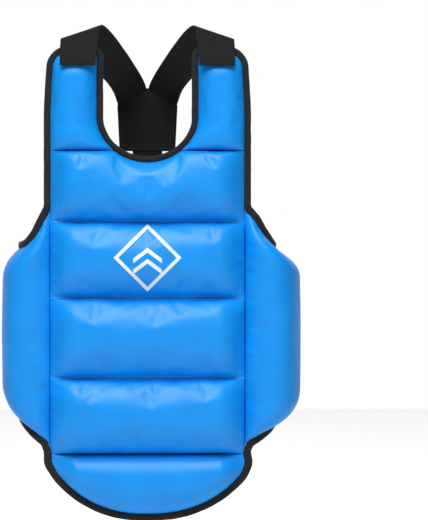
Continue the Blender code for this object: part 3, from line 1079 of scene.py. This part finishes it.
@dataclass
class FrontPad(Pad):
    """The front: four channels quilted across one cover and one lining."""

    body: str = "front"
    rows_each: int = 32  # rows of the grid in each channel
    grid: tuple[int, int] = (4 * 32 + 1, 87)
    crown: float = 24 * MM
    side_reach: float = 30 * MM  # how far in from a side seam the channels are full
    seam_fold: float = 0.12 * MM
    side_fold: float = 0.8 * MM
    ripple: float = 0.2 * MM
    swell: float = 1.0 * MM
    material_name: str = "front_vinyl"

    def span(self, i: int, x: float) -> tuple[float, float]:
        """Channel i's seams at x."""
        high = SEAMS[i + 1]
        return SEAMS[i], min(high, NECK.low(x)) if i == 3 else high

    def region(self, u: float, v: float) -> tuple[float, float]:
        """(x, z) with every seam on a row of the grid.

        Args:
            u: share of the way across, 0 to 1.
            v: share of the way up, 0 to 1.

        Returns:
            The point on the cut pattern.
        """
        x = (2 * u - 1) * SIDE_SEAM
        i = min(int(v * 4 + 1e-9), 3)
        low, high = self.span(i, x)
        return x, low + (high - low) * (v * 4 - i)

    def rise(self, x: float, z: float) -> float:
        """Round channels that slope down to the side seams.

        Args:
            x: distance from the centre line, positive towards +X.
            z: height.

        Returns:
            From 0 at a seam to 1 where the pad is fullest.
        """
        i = sum(z > s + 1e-9 for s in SEAMS[1:4])
        low, high = self.span(i, x)
        slope = soft_rise(SIDE_SEAM - abs(x), self.side_reach) ** 0.9
        return dome(off_middle(z, low, high), steep=0.52) * slope

    def height(self, x: float, z: float) -> float:
        """The channels, with folds beside every seam.

        Args:
            x: distance from the centre line, positive towards +X.
            z: height.

        Returns:
            How far the cover's face stands off the lining's plane.
        """
        base = super().height(x, z)
        seam = min(abs(z - s) for s in (*SEAMS[:4], min(SEAMS[4], NECK.low(x))))
        side = SIDE_SEAM - abs(x)
        folds = self.seam_fold * pucker(x, seam, 3.0, 7 * MM) * min(1.0, side / (10 * MM))
        folds += self.side_fold * pucker(z, side, 11.0 + math.copysign(4, x), 13 * MM)
        folds += self.ripple * wander(x, z, 34 * MM, 5.0) * min(1.0, seam / (14 * MM)) * min(
            1.0, side / (20 * MM))
        fill = shoulder_fill(abs(x), SEAMS[4] - z) if z < SEAMS[4] + 0.1 * MM else 0.0
        return fill + (max(SEWN, base + folds) if min(seam, side) > 0.1 * MM else SEWN)

    def held(self, sheet: Sheet) -> list[int]:
        """The border and the three quilting seams.

        Args:
            sheet: the front's cover.

        Returns:
            Numbers of the vertices.
        """
        numbers = set(sheet.border())
        for j in (1, 2, 3):
            numbers |= set(sheet.row(j * self.rows_each))
        return sorted(numbers)

    def puff(self, x: float, z: float) -> float:
        """Nearly flat between the seams, since the wearer's chest presses on it."""
        return LINING_FACE + self.swell * math.sqrt(max(0.0, self.rise(x, z)))


@dataclass
class TabPad(Pad):
    """A shoulder tab, which stands up beside the neck opening."""

    body: str = "shoulders"
    grid: tuple[int, int] = (46, 26)
    crown: float = 16.5 * MM
    base_reach: float = 24 * MM  # how far from the shoulder seam it is full
    top_reach: float = 26 * MM
    fold: float = 0.3 * MM

    def region(self, u: float, v: float) -> tuple[float, float]:
        """(a, z) between the neck's edge and the armhole's."""
        z = SHOULDER_SEAM + (TAB.top - SHOULDER_SEAM) * v
        inner, outer = NECK.inner(z), TAB.right(z)
        return inner + (outer - inner) * u, z

    def rise(self, a: float, z: float) -> float:
        """Full to the middle, flat where the strap is sewn on."""
        across = dome(off_middle(a, NECK.inner(z), TAB.right(z)))
        base, top = z - SHOULDER_SEAM, TAB.top - z
        return across * round_rise(base, self.base_reach) * soft_rise(top, self.top_reach)

    def height(self, a: float, z: float) -> float:
        """The tab, with folds beside the shoulder seam."""
        near = z - SHOULDER_SEAM
        folds = self.fold * pucker(a, near, 21.0 + self.side, 9 * MM)
        return super().height(a, z) + folds + shoulder_fill(a, near)


@dataclass
class WingPad(Pad):
    """A side wing: one large smooth pad that wraps round the wearer's side."""

    grid: tuple[int, int] = (88, 46)
    stuffing: Stuffing = Stuffing(pressure=2.0, slack=0.006, cap=3 * MM)
    outline: WingOutline = WINGS[1]
    root_reach: float = 27 * MM
    tip_reach: float = 24 * MM
    edge_reach: float = 30 * MM
    fold: float = 1.3 * MM
    ripple: float = 0.6 * MM

    def __post_init__(self) -> None:
        """Take the side's own outline, and stuff the right wing fuller."""
        self.outline = WINGS[self.side]
        self.crown = (22 + 4.5 * self.side) * MM

    def region(self, u: float, v: float) -> tuple[float, float]:
        """(s, z) inside the wing's outline."""
        s = self.outline.end * u
        low, high = self.outline.bottom(s), self.outline.high(s)
        return s, low + (high - low) * v

    def rise(self, s: float, z: float) -> float:
        """Full in the middle, round at the edges, soft beside the side seam."""
        ends = soft_rise(s, self.root_reach) * round_rise(self.outline.end - s, self.tip_reach)
        low, high = z - self.outline.bottom(s), self.outline.high(s) - z
        return ends * round_rise(low, self.edge_reach) * soft_rise(high, self.edge_reach)

    def height(self, s: float, z: float) -> float:
        """The wing, with folds beside the side seam.

        Args:
            s: distance along the wing from its side seam.
            z: height.

        Returns:
            How far the cover's face stands off the lining's plane.
        """
        folds = self.fold * pucker(z, s, 31.0 + self.side, 12 * MM)
        edge = min(s, z - self.outline.bottom(s), self.outline.high(s) - z)
        folds += self.ripple * wander(s, z, 30 * MM, 37.0) * min(1.0, max(0.0, edge) / (15 * MM))
        return super().height(s, z) + (folds if edge > 0.1 * MM else 0.0)


@dataclass
class FlapPad(Pad):
    """The lower flap, a crescent below the lowest channel."""

    body: str = "flap"
    grid: tuple[int, int] = (34, 87)
    crown: float = 19 * MM
    stuffing: Stuffing = Stuffing(pressure=2.0, slack=0.0, cap=2 * MM)
    full: float = 40 * MM  # as deep as this the flap takes its whole crown
    side_reach: float = 30 * MM
    seam_fold: float = 0.05 * MM
    edge_fold: float = 1.6 * MM

    def region(self, u: float, v: float) -> tuple[float, float]:
        """(x, z) between the flap seam and the curved lower edge."""
        x = (2 * u - 1) * FLAP.half
        low = FLAP.bottom(x)
        return x, low + (FLAP_SEAM - low) * v

    def place(self, x: float, z: float) -> tuple[float, float]:
        """(x, z) after the foam has settled sideways."""
        return FLAP.leaned(x, z), z

    def rise(self, x: float, z: float) -> float:
        """Round from the seam to the lower edge.

        Args:
            x: distance from the centre line, positive towards +X.
            z: height.

        Returns:
            From 0 at a seam to 1 where the pad is fullest.
        """
        low = FLAP.bottom(x)
        fill = min(1.0, (FLAP_SEAM - low) / self.full)
        across = dome(off_middle(z, low, FLAP_SEAM), 2, 0.62)
        return across * fill * soft_rise(FLAP.half - abs(x), self.side_reach)

    def height(self, x: float, z: float) -> float:
        """The flap, with folds beside its seam and its edge.

        Args:
            x: distance from the centre line, positive towards +X.
            z: height.

        Returns:
            How far the cover's face stands off the lining's plane.
        """
        top, low = FLAP_SEAM - z, z - FLAP.bottom(x)
        folds = self.seam_fold * pucker(x, top, 41.0, 8 * MM)
        folds += self.edge_fold * pucker(x, low, 43.0, 8 * MM)
        return super().height(x, z) + folds * min(1.0, (FLAP.half - abs(x)) / (8 * MM))


# ---- Binding tape -----------------------------------------------------------------


@dataclass
class Binding:
    """Tape folded over a pad's raw edges and sewn through, bulging a little."""

    name: str
    surface: Surface
    edge: Sequence[tuple[float, float]]  # anticlockwise seen from the pad's own front
    half_width: float = 3.9 * MM
    half_thick: float = 2.1 * MM
    overlap: float = 1.4 * MM
    seed: float = 1.0
    section: int = 14
    step: float = 2.2 * MM
    around: float = 16 * MM  # how much tape goes round the edge

    def make(self) -> bpy.types.Object:
        """Sweep the folded section along the edge.

        Returns:
            The tape.
        """
        flat = evenly([Vector((a, z, 0)) for a, z in self.edge], self.step)
        run = lengths(flat)
        points, across, along = [], [], []
        for i, here in enumerate(flat):
            ahead = flat[min(i + 1, len(flat) - 1)] - flat[max(i - 1, 0)]
            out = Vector((ahead.y, -ahead.x, 0)).normalized()
            wave = wander(run[i], 0, 13 * MM, self.seed)
            fat = 1 + 0.10 * wander(run[i], 0, 6 * MM, self.seed + 5)
            middle = self.half_width - self.overlap + 0.35 * MM * wave
            for k in range(self.section + 1):
                angle = 2 * math.pi * k / self.section - math.pi / 2
                c, s = math.cos(angle), math.sin(angle)
                o = math.copysign(abs(c) ** 0.6, c) * self.half_width
                h = math.copysign(abs(s) ** 0.75, s) * self.half_thick * fat
                spot = here + out * (middle + o)
                points.append(self.surface.at(spot.x, spot.y, self.half_thick + 0.3 * MM + h))
                across.append(k / self.section * self.around)
                along.append(run[i])
        columns = self.section + 1
        obj = mesh_object(self.name, points, grid_faces(len(flat), columns))
        metre_uv(obj, across, along)
        tidy = bmesh.new()
        tidy.from_mesh(obj.data)
        bmesh.ops.remove_doubles(tidy, verts=tidy.verts[:], dist=1e-7)
        bmesh.ops.holes_fill(tidy, edges=[e for e in tidy.edges if e.is_boundary])
        bmesh.ops.recalc_face_normals(tidy, faces=tidy.faces[:])
        tidy.to_mesh(obj.data)
        tidy.free()
        obj.data.shade_smooth()
        return obj


def neck_and_armhole_edge() -> list[tuple[float, float]]:
    """The covers' edge from the right armhole over both tabs to the left armhole.

    Returns:
        Points (x, z), anticlockwise seen from the front.
    """
    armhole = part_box("right_armhole_tape")[0].z
    corner = Vector((TAB.outer - TAB.corner, TAB.top - TAB.corner))
    right = [(TAB.outer, armhole - 4 * MM), (TAB.outer, SHOULDER_SEAM)]
    right += [(TAB.right(z), z) for z in np.linspace(NECK.middle_z, corner.y, 8)]
    for t in np.linspace(0, math.pi / 2, 10)[1:]:
        z = corner.y + TAB.corner * math.sin(t)
        right.append((corner.x + TAB.corner * math.cos(t) - TAB.leaning(z), z))
    inner = 5 * MM
    right += [(NECK.half + inner - inner * math.sin(t), TAB.top - inner + inner * math.cos(t))
              for t in np.linspace(0, math.pi / 2, 6)]
    right += [(NECK.half * math.cos(t), NECK.middle_z - NECK.drop * math.sin(t))
              for t in np.linspace(0, math.pi / 2, 40)]
    return right + [(-a, z) for a, z in reversed(right[:-1])]


def wing_edge(outline: WingOutline) -> list[tuple[float, float]]:
    """A wing cover's edge, from the tail's root round the free end to the armhole.

    Args:
        outline: the wing's outline.

    Returns:
        Points (s, z).
    """
    steps = [outline.end * math.sin(t) for t in np.linspace(0, math.pi / 2, 50)]
    line = [(-0.5 * MM, FLAP_SEAM - 3 * MM), (0.0, outline.root_low - 5 * MM)]
    line += [(s, outline.bottom(s)) for s in steps if s > 2 * MM]
    line += [(s, outline.high(s)) for s in reversed(steps) if s > 7 * MM]
    return line + [(0.6 * MM, 92 * MM), (-0.8 * MM, 101 * MM)]


def flap_edge() -> list[tuple[float, float]]:
    """The flap cover's edge, from its top left corner to its top right one."""
    xs = [-FLAP.half * math.cos(t) for t in np.linspace(0, math.pi, 80)]
    low = [(FLAP.leaned(x, FLAP.bottom(x)), FLAP.bottom(x)) for x in xs]
    return [(-FLAP.half, FLAP_SEAM + 3 * MM), *low, (FLAP.half, FLAP_SEAM + 3 * MM)]


# ---- Harness ----------------------------------------------------------------------


STITCH_STEP = 1.5 * MM


@dataclass(frozen=True)
class Straps:
    """Elastic over each shoulder, sewn on a tab and run back to the yoke.

    The edges' points are in millimetres on the right side. The first three lie on the tab.
    """

    thickness: float = 1.9 * MM
    slack: float = 0.5 * MM  # how much the elastic waves between its ends
    stitched: tuple[int, ...] = (1, 6, 11, 16)  # points along it with stitches across
    inner: tuple[tuple[float, float, float], ...] = (
        (54, -21.6, 243), (54, -19.4, 250), (53.5, -12.5, 261), (51.5, -5.0, 275),
        (48, 8, 288), (33, 42, 276), (8, 118, 244), (0.5, 140.5, 226), (0.5, 140.5, 205))
    outer: tuple[tuple[float, float, float], ...] = (
        (92, -21.2, 243), (92, -18.6, 250), (92, -11.5, 260), (92, -4.5, 267),
        (90, 8, 273), (74, 42, 261), (43, 118, 233), (33, 140.5, 212), (26, 140.5, 194))

    def make(self, side: int, word: str, wardrobe: Wardrobe, threads: Threads) -> None:
        """Model one strap, with four rows of stitches where it is sewn to the tab.

        Args:
            side: -1 for the left and 1 for the right.
            word: the side's name.
            wardrobe: the finishes.
            threads: the shoulder's black threads.
        """
        rails = []
        for rail in (self.outer, self.inner):
            line = smooth_line([(side * x * MM, y * MM, z * MM) for x, y, z in rail], 97)
            for i, p in enumerate(line):
                p.z += self.slack * wander(p.y, p.z, 22 * MM, 51.0 + side) * min(1, i / 12)
            rails.append(line)
        if side < 0:
            rails.reverse()
        obj = ribbon(word + "_shoulder_webbing", rails, self.thickness, 10)
        dress(obj, wardrobe.webbing, Finish.WEBBING)
        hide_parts(word + "_strap_front", word + "_strap_back")
        lift = self.thickness + 0.05 * MM
        for i in self.stitched:
            a, b = rails[0][i], rails[1][i]
            up = (b - a).cross(rails[0][i + 1] - a).normalized()
            row = [a.lerp(b, t) + up * lift for t in np.linspace(0.05, 0.95, 12)]
            threads.along(row, [up] * len(row))
        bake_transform(obj)


@dataclass(frozen=True)
class Yoke:
    """Two house-shaped patches that hold the straps' ends and the spine elastic."""

    low: float = 160 * MM
    shoulder: float = 211 * MM
    top: float = 230 * MM
    half_low: float = 31 * MM
    half_top: float = 33.5 * MM
    thickness: float = 1.2 * MM
    edge: float = 0.35 * MM
    stitch_rows: tuple[float, ...] = (3 * MM, 6 * MM)

    def outline(self, inset: float) -> list[tuple[float, float]]:
        """The patch's (x, z) outline, inset by that much.

        Args:
            inset: how far inside the patch's edge.

        Returns:
            Five points, from the lower left.
        """
        return [(-self.half_low + inset, self.low + inset),
                (self.half_low - inset, self.low + inset),
                (self.half_top - inset, self.shoulder - 0.5 * inset),
                (0, self.top - 1.15 * inset), (-self.half_top + inset, self.shoulder - 0.5 * inset)]

    def make(self, wardrobe: Wardrobe, threads: Threads) -> None:
        """Model both patches and the stitches round each of them.

        Args:
            wardrobe: the finishes.
            threads: the harness's black threads.
        """
        for name, face, sense in (("yoke_inner_patch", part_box("yoke_inner_patch")[0].y, -1),
                                  ("yoke_outer_patch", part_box("yoke_outer_patch")[1].y, 1)):
            deep = sense * self.thickness
            bpy.ops.object.select_all(action="DESELECT")
            bpy.ops.mesh.primitive_circle_add(vertices=5, fill_type="NGON")
            obj = bpy.context.object
            obj.name = name + "_webbing"
            for vertex, (x, z) in zip(obj.data.vertices, self.outline(0)):
                vertex.co = (x, face - deep, z)
            bpy.ops.object.mode_set(mode="EDIT")
            bpy.ops.mesh.select_all(action="SELECT")
            bpy.ops.mesh.extrude_region_move(TRANSFORM_OT_translate={"value": (0, deep, 0)})
            bpy.ops.mesh.select_all(action="SELECT")
            bpy.ops.mesh.normals_make_consistent(inside=False)
            bpy.ops.object.mode_set(mode="OBJECT")
            add_modifier(obj, "BEVEL", width=self.edge, segments=2)
            apply_modifiers(obj)
            metre_uv(obj, [v.co.x for v in obj.data.vertices], [v.co.z for v in obj.data.vertices])
            dress(obj, wardrobe.webbing, Finish.WEBBING)
            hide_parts(name)
            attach(obj, "harness")
            for inset in self.stitch_rows:
                corners = self.outline(inset) + self.outline(inset)[:1]
                row = evenly([Vector((x, face, z)) for x, z in corners], STITCH_STEP)
                threads.along(row, [Vector((0, sense, 0))] * len(row))


@dataclass
class Belt:
    """The elastic down the spine, the waist belt and its hook pads."""

    width: float = 50 * MM
    middle_z: float = -60 * MM
    thickness: float = 2 * MM
    bend: float = 26 * MM
    split: float = 90 * MM  # where the sewn-back end meets the single belt
    yoke_low: float = 159 * MM

    def __post_init__(self) -> None:
        """Read the belt's own size from the frame."""
        low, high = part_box("waist_belt")
        self.half, self.back, self.end = high.x, high.y, low.y

    def plan(self) -> list[Vector]:
        """The belt's outer line seen from above, from its right end to its left one.

        Returns:
            Points (x, y).
        """
        start, turn = self.half - self.bend, np.linspace(0, math.pi / 2, 12)
        straight = [*np.linspace(self.end, self.split - 2 * MM, 12),
                    *np.linspace(self.split + 2 * MM, self.back - self.bend, 8)]
        right = [Vector((self.half, y)) for y in straight]
        right += [Vector((start + self.bend * math.cos(t), self.back - self.bend
                          + self.bend * math.sin(t))) for t in turn[1:]]
        right += [Vector((start * k, self.back)) for k in (0.8, 0.6, 0.4, 0.2, 0)]
        return right + [Vector((-p.x, p.y)) for p in reversed(right[:-1])]

    def make(self, wardrobe: Wardrobe, threads: Threads) -> None:
        """Model the belt, the spine elastic and the box stitch where they cross.

        Args:
            wardrobe: the finishes.
            threads: the harness's black threads.
        """
        plan, inner = self.plan(), []
        for i, p in enumerate(plan):  # thickness grows outward, so the rails start inside
            ahead = plan[min(i + 1, len(plan) - 1)] - plan[max(i - 1, 0)]
            inward = Vector((-ahead.y, ahead.x, 0)).normalized() * self.thickness
            inner.append(Vector((p.x, p.y, self.middle_z)) + inward)
        rails = [[p + Vector((0, 0, dz)) for p in inner]
                 for dz in (-self.width / 2, self.width / 2)]
        obj = ribbon("waist_belt_webbing", rails, self.thickness, 10)
        dress(obj, wardrobe.webbing, Finish.WEBBING)
        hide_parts("waist_belt")
        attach(obj, "harness")

        low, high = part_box("spine_strap")
        half, near = (high.x - low.x) / 2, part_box("spine_strap")[0].y
        far = self.back - self.thickness - 0.3 * MM - self.thickness
        # straight down inside the yoke, then back to the belt
        line = smooth_line([(0, near, high.z), (0, near, self.yoke_low),
                            (0, near + 3 * MM, 80 * MM), (0, far, -10 * MM), (0, far, low.z)], 60)
        rails = [[p + Vector((x, 0, 0)) for p in line] for x in (half, -half)]
        obj = ribbon("spine_webbing", rails, self.thickness, 8)
        dress(obj, wardrobe.webbing, Finish.WEBBING)
        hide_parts("spine_strap")
        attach(obj, "harness")

        box, face = 14 * MM, self.back + 0.02 * MM  # half of the box stitch's side
        corners = [(-box, -box), (box, -box), (box, box), (-box, box), (-box, -box), (box, box)]
        row = evenly([Vector((x, face, self.middle_z + z)) for x, z in corners], STITCH_STEP)
        threads.along(row, [Vector((0, 1, 0))] * len(row))
        for z in (-20 * MM, 20 * MM):
            for side in (-1, 1):
                row = [Vector((side * (self.half + 0.05 * MM), y, self.middle_z + z))
                       for y in np.linspace(54 * MM, 80 * MM, 8)]
                threads.along(row, [Vector((side, 0, 0))] * len(row))

    def pads(self, wardrobe: Wardrobe) -> None:
        """Hook pads on the belt's ends and loop pads inside the wings' free ends.

        Args:
            wardrobe: the finishes.
        """
        for side, word in SIDES:
            for kind, body in (("hook", "harness"), ("loop", word + "_wing")):
                low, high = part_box(f"{word}_{kind}_pad")
                bpy.ops.object.select_all(action="DESELECT")
                bpy.ops.mesh.primitive_cube_add(size=1)
                obj = bpy.context.object
                obj.name = f"{word}_{kind}_tape"
                bpy.ops.object.mode_set(mode="EDIT")
                bpy.ops.mesh.select_all(action="SELECT")
                bpy.ops.transform.resize(value=tuple(high - low))
                bpy.ops.transform.translate(value=tuple((low + high) / 2))
                bpy.ops.mesh.bevel(offset=0.3 * MM, segments=2)
                bpy.ops.object.mode_set(mode="OBJECT")
                metre_uv(obj, [v.co.y for v in obj.data.vertices],
                         [v.co.z for v in obj.data.vertices])
                dress(obj, wardrobe.hook, Finish.HOOK)
                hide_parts(f"{word}_{kind}_pad")
                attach(obj, body)


# ---- Assembly ---------------------------------------------------------------------


class Protector:
    """Every piece of the chest protector, in the order it is sewn together."""

    def __init__(self) -> None:
        """Start the finishes and the rows of stitches of each body."""
        self.wardrobe = Wardrobe()
        self.blue: dict[str, Threads] = {}
        self.black: dict[str, Threads] = {}

    def threads(self, body: str, blue: bool) -> Threads:
        """The threads of one colour on a body."""
        held = self.blue if blue else self.black
        word = "blue" if blue else "black"
        return held.setdefault(body, Threads(f"{body}_{word}_stitches"))

    def grid_row(self, sheet: Sheet, cells: Sequence[tuple[int, int]], body: str) -> None:
        """A row of blue stitches over the given cells of a sheet."""
        line = [Vector(sheet.points[j, i]) for j, i in cells]
        ups = [grid_normal(sheet.points, j, i) for j, i in cells]
        self.threads(body, True).along(line, ups)

    def pads(self) -> None:
        """Stuffed covers, their linings and the blue stitches on them."""
        w = self.wardrobe
        front = FrontPad("front", 1, FlatSurface())
        nodes = ["front_cover", "chest_foam", "rib_foam", "belly_foam", "waist_foam"]
        cover = front.cover(w, nodes)
        rows, columns = cover.points.shape[:2]
        for j in (1, 2, 3):
            row = j * front.rows_each - 1
            self.grid_row(cover, [(row, i) for i in range(1, columns - 1)], "front")
        for i in (1, columns - 2):
            self.grid_row(cover, [(j, i) for j in range(1, rows - 1)], "front")
        beside = [i for i in range(1, columns - 1)
                  if abs(cover.points[-1, i, 0]) > NECK.inner(SHOULDER_SEAM) + 2 * MM]
        for side in (-1, 1):
            cells = [(rows - 2, i) for i in beside if side * cover.points[-1, i, 0] > 0]
            self.grid_row(cover, cells, "front")
        front.lining(w, "front_lining")
        for side, word in SIDES:
            tab = TabPad(word + "_tab", side, FlatSurface(side))
            tab.cover(w, [word + "_tab_cover", word + "_tab_foam"])
            tab.lining(w, word + "_tab_lining")
            wing = WingPad(word + "_wing", side, WrapSurface(side), body=word + "_wing")
            cover = wing.cover(w, [word + "_wing_cover", word + "_wing_foam"])
            rows, columns = cover.points.shape[:2]
            i = 1 if side > 0 else columns - 2
            self.grid_row(cover, [(j, i) for j in range(2, rows - 2)], wing.body)
            wing.lining(w, word + "_wing_lining")
        flap = FlapPad("flap", 1, FlatSurface())
        cover = flap.cover(w, ["flap_cover", "flap_foam"])
        rows, columns = cover.points.shape[:2]
        self.grid_row(cover, [(rows - 2, i) for i in range(2, columns - 2)], "flap")
        flap.lining(w, "flap_lining")

    def bindings(self) -> None:
        """Binding tape round every free edge."""
        tape, flat = self.wardrobe.tape, FlatSurface()
        upper = Binding("neck_and_armhole_binding", flat, neck_and_armhole_edge())
        obj = upper.make()
        dress(obj, tape, Finish.TAPE)
        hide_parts("neck_tape", "left_armhole_tape", "right_armhole_tape",
                    "left_tab_tape", "right_tab_tape")
        for side, word in SIDES:
            wing = Binding(word + "_wing_binding", WrapSurface(side), wing_edge(WINGS[side]),
                           seed=7.0 + side)
            piece = wing.make()
            dress(piece, tape, Finish.TAPE)
            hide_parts(word + "_wing_tape")
            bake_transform(piece)
        flap = Binding("flap_binding", flat, flap_edge(), half_width=4.3 * MM, seed=13.0)
        piece = flap.make()
        dress(piece, tape, Finish.TAPE)
        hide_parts("flap_tape")
        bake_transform(piece)
        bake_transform(obj)

    def harness(self) -> None:
        """Straps, yoke, spine, belt and their pads."""
        for side, word in SIDES:
            Straps().make(side, word, self.wardrobe, self.threads("shoulders", False))
        Yoke().make(self.wardrobe, self.threads("harness", False))
        belt = Belt()
        belt.make(self.wardrobe, self.threads("harness", False))
        belt.pads(self.wardrobe)

    def sew(self) -> None:
        """Copy the one modelled stitch along every row."""
        shape = stitch_shape()
        for held, thread, slot in ((self.blue, self.wardrobe.blue_thread, Finish.LEATHER),
                                   (self.black, self.wardrobe.black_thread, Finish.WEBBING)):
            for body, rows in held.items():
                obj = rows.make(shape)
                dress(obj, thread, slot)
                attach(obj, body)

    def build(self) -> None:
        """Make everything."""
        self.pads()
        self.bindings()
        self.harness()
        self.sew()


@dataclass(frozen=True)
class Studio:
    """A pale floor, white surroundings and soft lights."""

    floor_z: float = -0.30
    floor_size: float = 6.0
    glow: tuple[float, float] = (0.2, 0.62)  # the floor's own light, and as the camera sees it
    dim_front: float = 0.09  # surroundings ahead of the protector, against 1 behind it

    def light(self, name: str, size: float, power: float, place: Sequence, aim: Sequence) -> None:
        """Add one square soft light aimed at a point.

        Args:
            name: the light's name.
            size: its side in metres.
            power: its power in watts.
            place: where it stands.
            aim: the point that it faces.
        """
        data = bpy.data.lights.new(name, "AREA")
        data.size, data.energy = size, power
        obj = bpy.data.objects.new(name, data)
        obj.location = place
        obj.rotation_euler = (Vector(aim) - Vector(place)).to_track_quat("-Z", "Y").to_euler()
        bpy.context.scene.collection.objects.link(obj)

    def build(self) -> None:
        """Set up the surroundings."""
        bpy.ops.object.select_all(action="DESELECT")
        bpy.ops.mesh.primitive_plane_add(size=self.floor_size, location=(0, 0, self.floor_z))
        floor = bpy.context.object
        floor.name = "pale_floor"
        material, _, shader = BaseFinish("pale_studio_floor").start()
        shader.inputs["Base Color"].default_value = hex_colour("f2f2f2")
        shader.inputs["Roughness"].default_value = 0.9
        shader.inputs["Emission Color"].default_value = hex_colour("ffffff")
        seen = add_node(material.node_tree, "ShaderNodeLightPath").outputs["Is Camera Ray"]
        glow = add_node(material.node_tree, "ShaderNodeMapRange", {
            0: seen, 3: self.glow[0], 4: self.glow[1]})
        material.node_tree.links.new(glow.outputs[0], shader.inputs["Emission Strength"])
        floor.data.materials.append(material)
        world = bpy.data.worlds.new("white_surroundings")
        bpy.context.scene.world = world
        world.use_nodes = True
        tree = world.node_tree
        place = add_node(tree, "ShaderNodeTexCoord").outputs["Generated"]
        depth = add_node(tree, "ShaderNodeSeparateXYZ", {0: place}).outputs["Y"]
        share = add_node(tree, "ShaderNodeMapRange", {
            0: depth, 1: 0.45, 2: 0.92, 3: self.dim_front, 4: 1.0})
        seen = add_node(tree, "ShaderNodeLightPath").outputs["Is Camera Ray"]
        strength = add_node(tree, MATH, (share.outputs[0], seen), operation="MAXIMUM")
        tree.links.new(strength.outputs[0], tree.nodes["Background"].inputs[1])
        tree.nodes["Background"].inputs[0].default_value = (1, 1, 1, 1)
        self.light("key", 1.3, 64, (-0.2, -1.25, 2.0), (0, 0, 20 * MM))
        self.light("fill", 1.6, 3, (0.8, -2.4, 0.5), (0, 0, 0))
        bpy.context.scene.view_settings.view_transform = "Standard"


@dataclass(frozen=True)
class Camera:
    """A long lens at chest height, a little left of square."""

    place: tuple[float, float, float] = (-0.0015, -2.61, 0.0387)
    target: tuple[float, float, float] = (0.0700, -0.01, 0.0387)
    frame_height: float = 0.5476  # how tall the view is at the target

    def build(self) -> None:
        """Add the camera and make it the scene's own."""
        data = bpy.data.cameras.new("main")
        data.sensor_width = 36
        away = (Vector(self.target) - Vector(self.place)).length
        data.lens = data.sensor_width * away / self.frame_height
        obj = bpy.data.objects.new("main", data)
        obj.location = self.place
        aim = Vector(self.target) - Vector(self.place)
        obj.rotation_euler = aim.to_track_quat("-Z", "Y").to_euler()
        bpy.context.scene.collection.objects.link(obj)
        bpy.context.scene.camera = obj


def main() -> None:
    """Build the protector and its studio."""
    logging.basicConfig(level=logging.INFO, format="%(name)s: %(message)s")
    Protector().build()
    Studio().build()
    Camera().build()
    LOG.info("finished: %d meshes", len(bpy.data.meshes))


if __name__ == "__main__":
    main()
